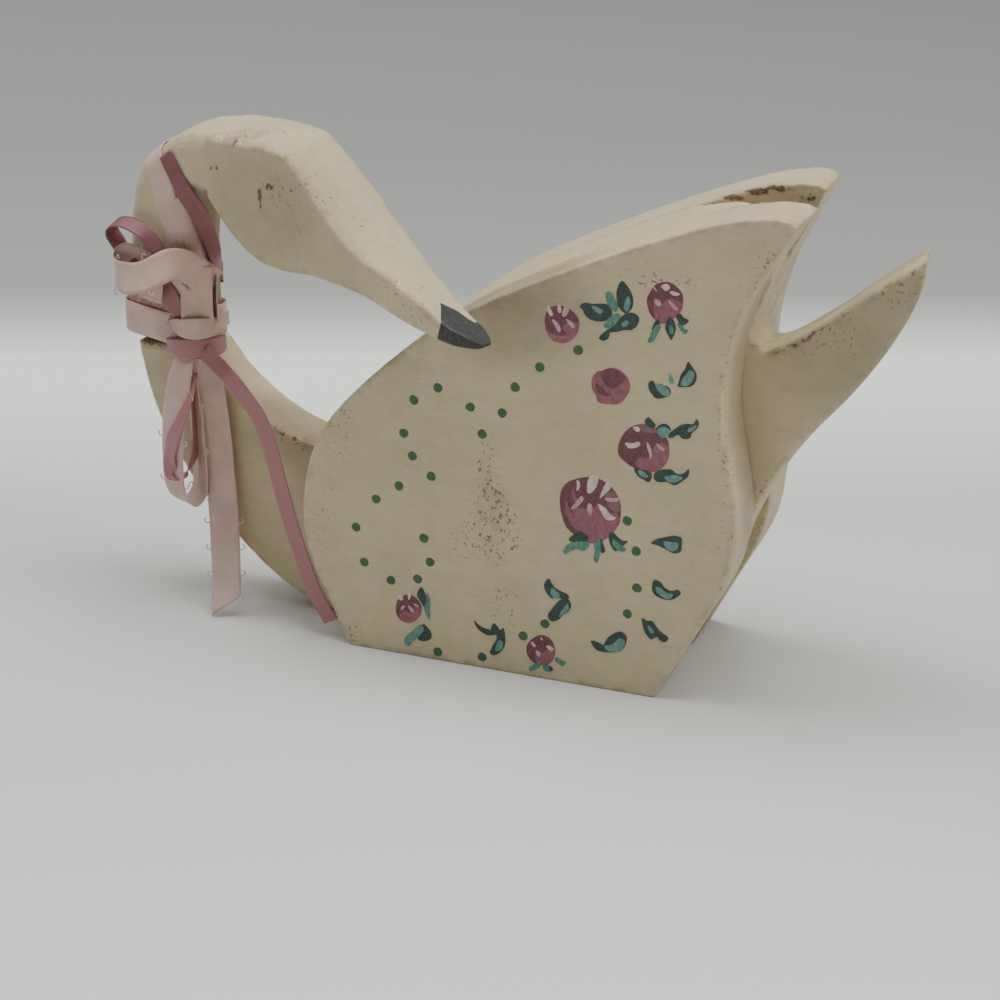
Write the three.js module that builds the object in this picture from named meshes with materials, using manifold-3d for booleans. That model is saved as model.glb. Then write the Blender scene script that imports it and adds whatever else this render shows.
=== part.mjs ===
// A wooden swan figurine: a body board, two wing boards glued to its sides, a neck and head board glued
// on the body's front stub and turned aside, and two narrow ribbons wound and tied round the neck.
// Millimetres, +Z up. The swan faces -X, its left wing is on the -Y side, and it stands on Z = 0.
// The origin is the middle of the body board's flat underside.
import * as THREE from "three";
import { mergeVertices } from "three/addons/utils/BufferGeometryUtils.js";
import Module from "manifold-3d";

const wasm = await Module();
wasm.setup();

const BOARD = 12.7; // every board is cut from the same half-inch stock
const GLUE_GAP = 0.3; // clearance between boards that are glued together
const SIDE = BOARD / 2;

const BODY_ROUNDING = 1.4; // softened edges of the body board
const WING_ROUNDING = 1.2; // outer edges of the wings
const NECK_ROUNDING = 3.0; // edges of the neck and head board
const BEAK_ROUNDING = 0.8;
const ROUNDING_FACETS = 3;
const OUTLINE_STEP = 4; // spacing of the points along a curved outline
const HEAD_STEP = 3;

const FOOT_HALF = 32.3; // half the length of the wings' flat foot
const BREAST_FOOT = 39; // the body's flat foot reaches further forward
const TIP_X = 56.5; // the wing's tip
const TIP_Z = 96.2;
const TAIL_TIP_X = 77;
const TAIL_TIP_Z = 89.2;
const JOINT_HEIGHT = 54; // floor to the glue joint under the neck
const STUB_FRONT = -84; // the stub that carries the neck, along X
const STUB_BACK = -69.6;

const NECK_X = -77.3; // where the middle of the neck stands on its stub
const NECK_Y = -1.8;
const NECK_TURN = THREE.MathUtils.degToRad(-20); // the head comes out in front of the left wing
const NECK_HALF = 8.8; // half the width of the neck at its foot
const CROWN_HEIGHT = 49; // joint to the top of the arch
const BEAK_REACH = 86.5; // middle of the neck to the tip of the beak
const BEAK_DROP = 17; // joint to the tip of the beak
const TAPER_START = 56; // from here to its tip the head board thins
const BEAK_SIDE = 3.1; // half the thickness at the tip of the beak

const PINK_WIDTH = 6.4; // quarter-inch picot ribbon
const PINK_THICKNESS = 0.6;
const PINK_LIFT = 0.8; // from the wood to the middle of the ribbon
const MAUVE_WIDTH = 3.2; // eighth-inch satin ribbon
const MAUVE_THICKNESS = 0.5;
const RIBBON_STEP = 3.2; // spacing of a strip's cross-sections
const BAND_HEIGHT = 5; // joint to the middle of the turn round the foot of the neck
const CORNER_TURNS = [0, 30, 60, 90].map(THREE.MathUtils.degToRad);

const CREAM = { color: 0xcdc1a0, roughness: 0.6, metalness: 0 };
const PINK = { color: 0xd9b3aa, roughness: 0.75, metalness: 0 };
const MAUVE = { color: 0x8c3f55, roughness: 0.45, metalness: 0 };

// A smooth curve through a few points, or a straight edge between two, without its last point.
function stretch(points, step = OUTLINE_STEP) {
  const corners = points.map(([x, z]) => new THREE.Vector2(x, z));
  if (corners.length === 2) return [corners[0]];
  const curve = new THREE.SplineCurve(corners);
  const pieces = Math.max(corners.length - 1, Math.round(curve.getLength() / step));
  return curve.getSpacedPoints(pieces).slice(0, -1);
}

// Moves each point of a closed clockwise outline inwards by its own amount, square to the outline.
function shrink(outline, amounts) {
  const longestMiter = 1.6;
  return outline.map((point, i) => {
    const before = outline[(i + outline.length - 1) % outline.length];
    const after = outline[(i + 1) % outline.length];
    const into = new THREE.Vector2().subVectors(point, before).normalize();
    const out = new THREE.Vector2().subVectors(after, point).normalize();
    const along = into.clone().add(out).normalize();
    const move = amounts[i] * Math.min(longestMiter, 1 / along.dot(into));
    return new THREE.Vector2(point.x + along.y * move, point.y - along.x * move);
  });
}

// A flat board standing in the XZ plane, from a closed outline that runs clockwise seen from -Y.
// Each face has a place along Y and a radius for its rounded edge, both as functions of x.
function board(outline, near, far) {
  const count = outline.length;
  const positions = [];
  const faces = [];
  const rings = [];
  const addRing = (face, side, turn) => {
    const radii = outline.map((point) => face.radius(point.x));
    const ring = shrink(outline, radii.map((radius) => radius * (1 - Math.cos(turn))));
    rings.push(ring);
    ring.forEach((point, i) => {
      const y = face.place(outline[i].x) - side * radii[i] * (1 - Math.sin(turn));
      positions.push(point.x, y, point.y);
    });
  };
  const turns = Array.from({ length: ROUNDING_FACETS + 1 }, (_, k) => (Math.PI / 2) * (k / ROUNDING_FACETS));
  const turnsOf = (face) => (face.radius(0) > 0 ? turns : [0]);
  [...turnsOf(near)].reverse().forEach((turn) => addRing(near, -1, turn));
  turnsOf(far).forEach((turn) => addRing(far, 1, turn));

  for (let ring = 0; ring + 1 < rings.length; ring += 1) {
    for (let i = 0; i < count; i += 1) {
      const a = ring * count + i;
      const b = ring * count + ((i + 1) % count);
      faces.push(a, b, a + count, b, b + count, a + count);
    }
  }
  const addCap = (ring, clockwise) => {
    for (const triangle of THREE.ShapeUtils.triangulateShape(rings[ring], [])) {
      const [a, b, c] = triangle.map((i) => rings[ring][i]);
      const turn = b.clone().sub(a).cross(c.clone().sub(a));
      const ordered = turn < 0 === clockwise ? triangle : triangle.reverse();
      faces.push(...ordered.map((i) => ring * count + i));
    }
  };
  addCap(0, false);
  addCap(rings.length - 1, true);
  const geometry = new THREE.BufferGeometry();
  geometry.setAttribute("position", new THREE.Float32BufferAttribute(positions, 3));
  geometry.setIndex(faces);
  return geometry;
}

function mesh(name, geometry, look) {
  const piece = new THREE.Mesh(geometry, new THREE.MeshStandardMaterial(look));
  piece.name = name;
  return piece;
}

const flat = (place, radius) => ({ place: () => place, radius: () => radius });

// The wing: a flat foot, a full front, a long rising top and a rear edge that dips in and out again.
const wingOutline = [
  ...stretch([[-FOOT_HALF, 0], [-39.1, 14.8], [-41.8, 26.6], [-38.4, 43], [-27.3, 57], [-9, 71.9],
    [16, 84.9], [38.5, 94.3], [48.5, 96.9], [54, 97.2], [TIP_X, TIP_Z]]),
  ...stretch([[TIP_X, TIP_Z], [51.7, 88.4], [47.7, 81], [44.6, 70], [44, 58], [45.8, 48], [47.1, 38.5],
    [45.4, 26], [38.8, 12.6], [FOOT_HALF, 0]]),
  ...stretch([[FOOT_HALF, 0], [-FOOT_HALF, 0]]),
];

// The body: breast, stub, saddle, the edge that fills the space between the wings, and the tail.
const bodyOutline = [
  ...stretch([[-BREAST_FOOT, 0], [-47, 1.9], [-54.5, 6], [-62.6, 13], [-72, 23.5], [-79, 35.5], [-82.4, 45],
    [STUB_FRONT, JOINT_HEIGHT]]),
  ...stretch([[STUB_FRONT, JOINT_HEIGHT], [STUB_BACK, JOINT_HEIGHT]]),
  ...stretch([[STUB_BACK, JOINT_HEIGHT], [-65, 48.3], [-60, 43.8], [-55, 40.5], [-49.5, 38], [-43.5, 36.6],
    [-38.5, 39], [-34, 47], [-26.5, 56], [-8.5, 71.2], [16.2, 84.4], [35, 92.2]]),
  ...stretch([[35, 92.2], [42, 93.6], [46.5, 91], [46.3, 84], [44, 76], [43.8, 70.5], [47.3, 68]]),
  ...stretch([[47.3, 68], [51.1, 69.6], [58.5, 74.9], [65.7, 80.8], [71.5, 85.2], [TAIL_TIP_X, TAIL_TIP_Z]]),
  ...stretch([[TAIL_TIP_X, TAIL_TIP_Z], [75.4, 80.8], [70.9, 71.5], [64.6, 62], [56.6, 52], [50, 41.5],
    [45.3, 31.5], [42, 21.5], [37.4, 12.2], [FOOT_HALF - 1, 0]]),
  ...stretch([[FOOT_HALF - 1, 0], [-BREAST_FOOT, 0]]),
];

// The neck and head, with x from the middle of the neck and z from the glue joint.
const neckOutline = [
  ...stretch([[-NECK_HALF, 0], [-7.4, 15.6], [-5.8, 28.6], [-2.6, 37.6], [3.4, 42.6], [12.6, 47.4],
    [26, CROWN_HEIGHT], [38.5, 48.6], [44, 45.6], [51.9, 39.4], [62.1, 31.1], [76.2, 21.6],
    [83, 18.8], [BEAK_REACH, BEAK_DROP]], HEAD_STEP),
  ...stretch([[BEAK_REACH, BEAK_DROP], [84.6, 15.6], [77.3, 17], [68.2, 19.6], [57.6, 22.8], [46, 23.6],
    [38, 23], [31, 24], [24.5, 27.6], [19.7, 32], [16.5, 34.8], [13.2, 34], [10.8, 30], [9.3, 23.4],
    [NECK_HALF, 12], [NECK_HALF, 0]], HEAD_STEP),
  ...stretch([[NECK_HALF, 0], [-NECK_HALF, 0]]),
];
const alongBeak = (x) => THREE.MathUtils.clamp((x - TAPER_START) / (BEAK_REACH - TAPER_START), 0, 1);
const neckSide = (x) => THREE.MathUtils.lerp(SIDE, BEAK_SIDE, alongBeak(x));
const neckRadius = (x) => THREE.MathUtils.lerp(NECK_ROUNDING, BEAK_ROUNDING, alongBeak(x));
const neckNear = { place: (x) => -neckSide(x), radius: neckRadius };
const neckFar = { place: neckSide, radius: neckRadius };

// One flat strip of ribbon: each stop is a point of its middle line and the way its flat side faces.
function strip(stops, width, thickness) {
  const places = stops.map(([x, y, z]) => new THREE.Vector3(x, y, z));
  const facings = stops.map(([, , , x, y, z]) => new THREE.Vector3(x, y, z));
  const path = new THREE.CatmullRomCurve3(places, false, "centripetal");
  const facing = new THREE.CatmullRomCurve3(facings);
  const pieces = Math.max(stops.length - 1, Math.round(path.getLength() / RIBBON_STEP));
  const positions = [];
  const faces = [];
  for (let i = 0; i <= pieces; i += 1) {
    const along = path.getUtoTmapping(i / pieces);
    const centre = path.getPoint(along);
    const tangent = path.getTangent(along);
    const normal = facing.getPoint(along);
    normal.addScaledVector(tangent, -normal.dot(tangent)).normalize();
    const across = new THREE.Vector3().crossVectors(normal, tangent).normalize();
    for (const [a, n] of [[-1, -1], [1, -1], [1, 1], [-1, 1]]) {
      const corner = centre.clone().addScaledVector(across, (a * width) / 2);
      positions.push(...corner.addScaledVector(normal, (n * thickness) / 2));
    }
  }
  for (let i = 0; i < pieces; i += 1) {
    for (let k = 0; k < 4; k += 1) {
      const a = i * 4 + k;
      const b = i * 4 + ((k + 1) % 4);
      faces.push(a, b, a + 4, b, b + 4, a + 4);
    }
  }
  const last = pieces * 4;
  faces.push(0, 2, 1, 0, 3, 2, last, last + 1, last + 2, last, last + 2, last + 3);
  const geometry = new THREE.BufferGeometry();
  geometry.setAttribute("position", new THREE.Float32BufferAttribute(positions, 3));
  geometry.setIndex(faces);
  return geometry;
}

// A closed geometry as a solid that can be joined to others, and a solid as a geometry.
function solid(geometry) {
  const merged = mergeVertices(geometry);
  const made = new wasm.Mesh({
    numProp: 3,
    vertProperties: new Float32Array(merged.attributes.position.array),
    triVerts: new Uint32Array(merged.index.array),
  });
  return new wasm.Manifold(made);
}

function join(geometries) {
  const whole = geometries.map(solid).reduce((sum, piece) => sum.add(piece));
  const made = whole.getMesh();
  const geometry = new THREE.BufferGeometry();
  geometry.setAttribute("position", new THREE.Float32BufferAttribute(made.vertProperties, 3));
  geometry.setIndex([...made.triVerts]);
  return geometry;
}

// Stops round one rounded corner of the neck at a height. The corner is given by its two signs in the
// neck's frame, and the turn goes from the side that faces along X to the side that faces along Y.
function corner(signX, signY, lift, height) {
  const reach = NECK_ROUNDING + lift;
  return CORNER_TURNS.map((turn) => {
    const x = signX * Math.cos(turn);
    const y = signY * Math.sin(turn);
    const middleX = signX * (NECK_HALF - NECK_ROUNDING);
    const middleY = signY * (SIDE - NECK_ROUNDING);
    return [middleX + reach * x, middleY + reach * y, height, x, y, 0];
  });
}

// Half of the turn round the foot of the neck, on one side, running on a little past the front and back.
function bandHalf(side) {
  const front = corner(1, side, PINK_LIFT, BAND_HEIGHT);
  const back = corner(-1, side, PINK_LIFT, BAND_HEIGHT);
  const [start] = corner(1, -side, PINK_LIFT, BAND_HEIGHT);
  const [end] = corner(-1, -side, PINK_LIFT, BAND_HEIGHT);
  return [start, ...front, ...back.reverse(), end];
}

// Ribbon stops are in the neck's own frame: x along the head, y to the right wing's side, z from the joint.
const pinkStrips = [
  bandHalf(-1),
  bandHalf(1),
  // up the right-hand side, over the bend and down across the left-hand side
  [[3.4, 7.25, 6, 0, 1, 0], [3.4, 7.25, 20, 0, 1, 0], [3.4, 7.3, 34, 0, 1, 0],
    [3.1, 7.5, 39.6, -0.1, 1, 0.1], [2.3, 6, 43.2, -0.35, 0.6, 0.7], [1.9, 2.6, 44.4, -0.5, 0.1, 0.86],
    [1.9, -2.6, 44.4, -0.5, -0.1, 0.86], [2.3, -6, 43.2, -0.35, -0.6, 0.7],
    [3.4, -7.6, 39.6, 0, -1, 0.1], [4.9, -7.6, 36, 0, -1, 0], [6.6, -7.6, 31.5, 0.3, -0.95, 0],
    [8.8, -7.3, 26.5, 0.6, -0.8, 0], [10, -6, 20, 0.8, -0.6, 0], [10.5, -4.4, 12, 0.95, -0.3, 0],
    [10.6, -4, 6, 1, 0, 0]],
  // the upright fold and the upper loop of the bow
  [[12.1, -4.8, 5, 1, 0, 0], [12.1, -4.8, 11, 1, 0, 0], [12.3, -4.4, 19, 1, 0, 0]],
  [[12.6, -1.6, 16.8, 1, 0, 0.2], [13, -4.8, 17.6, 0.97, -0.1, 0.2],
    [12.6, -8.4, 19.4, 0.8, -0.6, 0.25], [9.5, -10.6, 18.6, 0.3, -0.9, 0.3],
    [6, -11.6, 16.6, 0, -0.95, 0.3], [1.4, -12, 15.9, 0, -0.95, 0.3],
    [-3.2, -12, 16.5, -0.2, -0.93, 0.25], [-6.4, -11.2, 17.6, -0.8, -0.6, 0.1],
    [-7.2, -10, 18.6, -1, 0.1, 0], [-6, -8.9, 19.4, -0.5, 0.86, 0], [-3, -8.8, 19.6, 0.1, 1, 0]],
  // the knot and the throat under it
  [[12, 5, 5.9, 1, 0.1, 0], [12.4, 0, 6, 1, 0, 0], [12.3, -4, 6, 1, -0.1, 0],
    [11.6, -7.2, 6, 0.9, -0.4, 0]],
  [[11.5, -4.8, 6.6, 1, 0, 0], [11.5, -4.8, -1.2, 1, 0, 0]],
  // the lower loop of the bow
  [[11.2, -5, 0, 1, -0.1, 0], [9.2, -6.8, -4, 0.9, 0.35, 0.1], [6.6, -7.6, -8, 0.86, 0.42, 0],
    [5.1, -7.6, -12.8, 0.86, 0.42, 0], [3.9, -8, -21.6, 0.9, 0.42, 0], [4, -8.4, -28.8, 0.8, 0.4, 0.5],
    [5.8, -8.4, -32.2, 0.4, 0.3, 0.9], [8.7, -8, -32.5, -0.4, -0.1, 0.9],
    [11, -7.3, -29, -0.86, -0.42, 0.3], [11.7, -6.9, -22.7, -0.9, -0.42, 0],
    [11.1, -6.7, -15.1, -0.9, -0.42, 0], [10.6, -6.4, -8.7, -0.9, -0.4, 0],
    [11.2, -5.6, -3, -0.95, -0.2, 0], [11.8, -4.8, 0, -1, 0, 0]],
  // the long tail, cut near the floor
  [[11.5, -4.8, 0, 1, 0, 0], [11.6, -4.4, -2.6, 0.8, -0.6, 0], [12, -3.7, -6.4, 0.5, -0.87, 0],
    [11.8, -3.3, -12.3, 0.44, -0.9, 0], [12.2, -3.7, -20.9, 0.44, -0.9, 0],
    [14, -5, -31, 0.44, -0.9, 0.1], [16.6, -6.4, -42.6, 0.44, -0.9, 0.1],
    [18.6, -7.2, -50.8, 0.44, -0.9, 0.1]],
];

const mauveStrips = [
  // across the bend, behind the neck, round its foot and away as the tail
  [[6.9, -8.4, 40.8, 0, -1, 0], [9.7, -8.4, 37.4, 0, -1, 0], [12.1, -8.3, 34.4, 0.2, -0.97, 0],
    [12.9, -6.9, 32, 0.7, -0.7, 0], [12.4, -3.9, 30.2, 1, -0.1, 0], [11.5, -1, 27, 1, 0, 0],
    [11.3, 1.4, 24, 1, 0, 0], [11.2, 3.8, 20.5, 0.97, 0.2, 0], [10.5, 6.2, 17, 0.75, 0.65, 0],
    [8.2, 8, 14.6, 0.3, 0.95, 0], [3, 8.35, 12.4, 0, 1, 0], [-4, 8.35, 10.6, 0, 1, 0],
    [-8.3, 7.4, 9.8, -0.6, 0.8, 0], [-10.2, 4.2, 9.5, -1, 0.1, 0], [-10.4, -1, 9.4, -1, 0, 0],
    [-9.8, -5.4, 9.5, -0.9, -0.4, 0], [-7.4, -8, 9.5, -0.4, -0.9, 0], [-2, -8.4, 9, 0, -1, 0],
    [3, -8.4, 7, 0, -1, 0], [7.5, -9, 2.8, 0.1, -1, 0], [10.6, -9.7, 0.8, 0.2, -0.98, 0],
    [14.2, -7.6, 0.5, 0.5, -0.86, 0.1], [19.1, -4.9, 0, 0.45, -0.86, 0.25],
    [22.1, -3.8, -2.4, 0.44, -0.86, 0.25], [25.3, -3, -6.2, 0.44, -0.88, 0.2],
    [28.4, -2.6, -11.6, 0.4, -0.9, 0.1], [31.6, -2.7, -18.1, 0.4, -0.9, 0.1],
    [34.2, -2.6, -26, 0.4, -0.9, 0.1], [36.7, -2.4, -34.1, 0.4, -0.9, 0.1],
    [39.7, -1.7, -42.3, 0.4, -0.9, 0.1], [42.6, -0.7, -50, 0.4, -0.9, 0.1]],
  // the upper loop
  [[2, -8.4, 7.6, 0, -1, 0], [4.4, -8.7, 13, 0, -1, 0], [5.4, -9.3, 20, 0, -1, 0.1],
    [4.2, -9.9, 23.9, 0, -0.5, 0.86], [1.4, -10, 25.6, 0, -0.4, 0.9],
    [-2.4, -10, 26.6, -0.1, -0.4, 0.9], [-6.9, -9.6, 25.9, -0.6, -0.3, 0.8],
    [-8.5, -8.9, 24.2, -1, 0, 0], [-7.2, -8.5, 22.9, -0.8, 0.3, -0.5]],
];

const swan = new THREE.Group();
swan.add(mesh("body_board", board(bodyOutline, flat(-SIDE, BODY_ROUNDING), flat(SIDE, BODY_ROUNDING)), CREAM));

const wingInner = SIDE + GLUE_GAP;
const wingOuter = SIDE + BOARD;
swan.add(mesh("left_wing", board(wingOutline, flat(-wingOuter, WING_ROUNDING), flat(-wingInner, 0)), CREAM));
swan.add(mesh("right_wing", board(wingOutline, flat(wingInner, 0), flat(wingOuter, WING_ROUNDING)), CREAM));

const neck = new THREE.Group();
neck.position.set(NECK_X, NECK_Y, JOINT_HEIGHT + GLUE_GAP);
neck.rotation.z = NECK_TURN;
neck.add(mesh("neck_and_head", board(neckOutline, neckNear, neckFar), CREAM));
const pinkPieces = pinkStrips.map((stops) => strip(stops, PINK_WIDTH, PINK_THICKNESS));
neck.add(mesh("pink_ribbon", join(pinkPieces), PINK));
const mauvePieces = mauveStrips.map((stops) => strip(stops, MAUVE_WIDTH, MAUVE_THICKNESS));
neck.add(mesh("mauve_ribbon", join(mauvePieces), MAUVE));
swan.add(neck);

export default swan;
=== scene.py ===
import math

import bpy
import numpy as np
from mathutils import Matrix, Vector, noise
from mathutils.bvhtree import BVHTree


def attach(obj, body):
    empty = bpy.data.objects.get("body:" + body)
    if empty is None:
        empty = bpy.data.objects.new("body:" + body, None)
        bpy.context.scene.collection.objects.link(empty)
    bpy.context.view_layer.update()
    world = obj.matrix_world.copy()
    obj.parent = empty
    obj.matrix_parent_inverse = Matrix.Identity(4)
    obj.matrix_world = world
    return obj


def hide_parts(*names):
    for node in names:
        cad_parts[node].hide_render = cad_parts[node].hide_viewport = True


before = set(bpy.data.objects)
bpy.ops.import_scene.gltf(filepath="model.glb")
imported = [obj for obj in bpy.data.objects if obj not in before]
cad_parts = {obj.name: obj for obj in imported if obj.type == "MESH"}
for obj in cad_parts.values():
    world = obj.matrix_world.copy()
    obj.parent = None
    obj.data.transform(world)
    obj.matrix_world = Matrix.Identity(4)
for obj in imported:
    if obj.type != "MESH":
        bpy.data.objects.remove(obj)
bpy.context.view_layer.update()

# Camera
# A long lens beside the left wing and a little behind it, looking down at the figurine.
CAMERA_TILT = math.radians(22.61)
CAMERA_TURN = math.radians(21.29)
camera_data = bpy.data.cameras.new("camera")
camera_data.sensor_width = 36
camera_data.lens = 87.31
camera_data.clip_start = 0.02
camera = bpy.data.objects.new("camera", camera_data)
camera.location = (0.15592, -0.41802, 0.2148)
camera.rotation_euler = (math.pi / 2 - CAMERA_TILT, 0, CAMERA_TURN)
bpy.context.collection.objects.link(camera)
bpy.context.scene.camera = camera


# Pink picot ribbon
# A quarter-inch woven ribbon with small thread loops along both edges. It runs over the neck's bend,
# round its foot, through a bow with an upper and a lower loop, and hangs as a long tail.
MM = 0.001
NECK_FOOT = Vector((-77.3, -1.8, 54.3))
NECK_TURN = math.radians(-20)
NECK_HALF = 8.8
SIDE = 6.35
NECK_ROUNDING = 3.0
BAND_HEIGHT = 5
PINK_WIDTH = 6.4
PINK_THICKNESS = 0.22
PINK_TAIL_CUT = -1.9
PINK_LIFT = 0.75
PINK = (0.72, 0.505, 0.445)
PINK_THREAD = (0.62, 0.50, 0.455)


class Shade:
    """A value in a material. Arithmetic on it adds Math nodes, and node() adds a node of any kind."""

    def __init__(self, tree, socket=None):
        self.tree = tree
        self.socket = socket

    def node(self, kind, settings=None, inputs=None, output=0):
        made = self.tree.nodes.new(kind)
        for name, value in (settings or {}).items():
            if name == "stops":
                ramp = made.color_ramp.elements
                while len(ramp) < len(value):
                    ramp.new(1)
                for stop, (position, colour) in zip(ramp, value):
                    stop.position = position
                    stop.color = (*colour, 1)
            else:
                setattr(made, name, value)
        for name, value in (inputs or {}).items():
            if isinstance(value, Shade):
                self.tree.links.new(value.socket, made.inputs[name])
            else:
                made.inputs[name].default_value = value
        return Shade(self.tree, made.outputs[output])

    def math(self, operation, first, second):
        return self.node("ShaderNodeMath", {"operation": operation}, {0: first, 1: second})

    def __add__(self, other):
        return self.math("ADD", self, other)

    def __radd__(self, other):
        return self.math("ADD", other, self)

    def __sub__(self, other):
        return self.math("SUBTRACT", self, other)

    def __rsub__(self, other):
        return self.math("SUBTRACT", other, self)

    def __mul__(self, other):
        return self.math("MULTIPLY", self, other)

    def __rmul__(self, other):
        return self.math("MULTIPLY", other, self)

    def __truediv__(self, other):
        return self.math("DIVIDE", self, other)

    def __pow__(self, other):
        return self.math("POWER", self, other)

    def least(self, other):
        return self.math("MINIMUM", self, other)

    def most(self, other):
        return self.math("MAXIMUM", self, other)

    def wave(self):
        return self.node("ShaderNodeMath", {"operation": "SINE"}, {0: self})

    def rise(self, low, high):
        """0 below low, 1 above high, smooth between; the other way round where low is above high."""
        ends = {"From Min": low, "From Max": high, "Value": self}
        return self.node("ShaderNodeMapRange", {"interpolation_type": "SMOOTHSTEP"}, ends)

    def blend(self, first, second):
        """From one colour to another as this value goes from 0 to 1."""
        pair = [c if isinstance(c, Shade) else (*c, 1) for c in (first, second)]
        sockets = {0: self, 6: pair[0], 7: pair[1]}
        return self.node("ShaderNodeMix", {"data_type": "RGBA"}, sockets, 2)

    def grains(self, scale, detail=2.0, rough=0.5):
        """Noise at this place, from about 0.3 to 0.7."""
        inputs = {"Vector": self, "Scale": scale, "Detail": detail, "Roughness": rough}
        return self.node("ShaderNodeTexNoise", None, inputs)

    def stretched(self, x, y, z):
        """This place with its axes scaled."""
        inputs = {0: self, 1: (x, y, z)}
        return self.node("ShaderNodeVectorMath", {"operation": "MULTIPLY"}, inputs)

    def parts(self):
        split = self.node("ShaderNodeSeparateXYZ", None, {0: self})
        return [Shade(self.tree, out) for out in split.socket.node.outputs]


def new_material(name):
    """A material with its shader, and a Shade to start from."""
    made = bpy.data.materials.new(name)
    made.use_nodes = True
    return made, made.node_tree.nodes["Principled BSDF"], Shade(made.node_tree)


def feed(shader, **values):
    """Sets the shader's sockets, by their names with underscores for spaces."""
    for name, value in values.items():
        socket = shader.inputs[name.replace("_", " ")]
        if isinstance(value, Shade):
            value.tree.links.new(value.socket, socket)
        else:
            socket.default_value = value


turn_only = Matrix.Translation(NECK_FOOT * MM) @ Matrix.Rotation(NECK_TURN, 4, "Z")
to_row = turn_only @ Matrix.Scale(MM, 4)
to_neck = to_row.inverted()
board = bpy.data.objects["neck_and_head"]
neck_skin = BVHTree.FromPolygons(
    [to_neck @ board.matrix_world @ corner.co for corner in board.data.vertices],
    [tuple(face.vertices) for face in board.data.polygons],
)


def smooth_line(stops, step, evenness=0.5, size=3):
    """Evenly spaced points on a smooth line through stops, whose first numbers are their place."""
    stops = np.asarray(stops, float)
    padded = np.vstack([2 * stops[0] - stops[1], stops, 2 * stops[-1] - stops[-2]])
    if evenness == 0:
        padded[0], padded[-1] = stops[0], stops[-1]
    fine = []
    for k in range(len(stops) - 1):
        p = padded[k : k + 4]
        gaps = np.linalg.norm(np.diff(p[:, :size], axis=0), axis=1) ** evenness
        t = np.concatenate([[0], np.cumsum(gaps)])
        u = np.linspace(t[1], t[2], 24, endpoint=False)[:, None]
        a = [((t[i + 1] - u) * p[i] + (u - t[i]) * p[i + 1]) / (t[i + 1] - t[i]) for i in range(3)]
        b = [((t[i + 2] - u) * a[i] + (u - t[i]) * a[i + 1]) / (t[i + 2] - t[i]) for i in range(2)]
        fine.append(((t[2] - u) * b[0] + (u - t[1]) * b[1]) / (t[2] - t[1]))
    fine = np.vstack([*fine, stops[-1:]])
    along = np.concatenate([[0], np.cumsum(np.linalg.norm(np.diff(fine[:, :size], axis=0), axis=1))])
    places = np.linspace(0, along[-1], max(2, round(along[-1] / step)) + 1)
    return np.stack([np.interp(places, along, column) for column in fine.T], 1)


def unit(vectors):
    """The vectors at length 1."""
    return vectors / np.linalg.norm(vectors, axis=-1, keepdims=True)


LINE_STEP = 0.5
COLUMNS = 9
UPRIGHT_BLEND = 4
CUT_LENGTH = 3


def strip(stops, width, thickness, wave, seed, slant=0.0, level=-100):
    """A thin flat strip of ribbon as points, faces and its weave places (along, across) in millimetres.

    A stop is a place and a facing, then a lift over the wood where the strip is pressed on it, or -1
    where it hangs free, and a share of the width. Where x is under level the strip stands upright."""
    line = smooth_line([(*stop, *(-1, 1)[len(stop) - 6 :]) for stop in stops], LINE_STEP)
    centre, facing = line[:, :3], line[:, 3:6]
    tangent = unit(np.gradient(centre, axis=0))
    facing = unit(facing - tangent * np.sum(facing * tangent, axis=1, keepdims=True))
    across = np.cross(facing, tangent)
    upright = np.clip((level - centre[:, :1]) / UPRIGHT_BLEND, 0, 1)
    across = unit(across * (1 - upright) + np.array((0, 0, -1)) * upright)
    spread = np.linspace(-1, 1, COLUMNS)
    points, weave = [], []
    for i, (c, n, w, lift, share) in enumerate(zip(centre, facing, across, line[:, 6], line[:, 7])):
        length = i * LINE_STEP
        cut = slant * max(0, 1 - (len(centre) - 1 - i) * LINE_STEP / CUT_LENGTH) ** 2
        front, back = [], []
        for a in spread:
            crease = noise.noise(Vector((length * 0.22, a * 0.9, seed * 7.3)))
            edge = noise.noise(Vector((length * 0.5, a * 2, seed * 7.3 + 50)))
            spot = c + w * (a * share * width / 2 + 0.25 * wave * edge) + tangent[i] * cut * a
            spot, out = press(spot, n, lift)
            bulge = wave * (2.2 * crease + 0.8 * (a * a - 0.4))
            spot = spot + out * bulge * (0.25 if lift > 0 else 1)
            front.append(spot + out * thickness / 2)
            back.append(spot - out * thickness / 2)
        points += front + back[::-1]
        marks = np.stack([np.full(COLUMNS, length), spread * width / 2, np.zeros(COLUMNS)], 1)
        weave += [marks, marks[::-1]]
    ring = 2 * COLUMNS
    faces = []
    for i in range(len(centre) - 1):
        for k in range(ring):
            a, b = i * ring + k, i * ring + (k + 1) % ring
            faces.append((a, b, b + ring, a + ring))
    last = (len(centre) - 1) * ring
    for k in range(COLUMNS - 1):
        faces.append((k + 1, k, ring - 1 - k, ring - 2 - k))
        faces.append((last + k, last + k + 1, last + ring - 2 - k, last + ring - 1 - k))
    return np.vstack(points), faces, np.vstack(weave)


SANDED_EDGE = np.array([
    (-8, 0), (-4, 0.9), (0, 1.7), (8, 1.8), (17, 2.4), (28, 2.9), (36, 2.3), (41, 2.5), (45, 3.8),
    (50, 5), (56, 4.8), (64, 2.5), (74, 0),
])
NECK_TOP = np.array([
    (-8.8, 0), (-7.4, 15.6), (-5.8, 28.6), (-2.6, 37.6), (3.4, 42.6), (12.6, 47.4), (26, 49),
    (38.5, 48.6), (44, 45.6), (51.9, 39.4), (62.1, 31.1), (76.2, 21.6), (82, 19.2), (85.3, 17.6),
])
SANDED_DOWN = 10
SANDED_ACROSS = SIDE + 2


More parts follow.
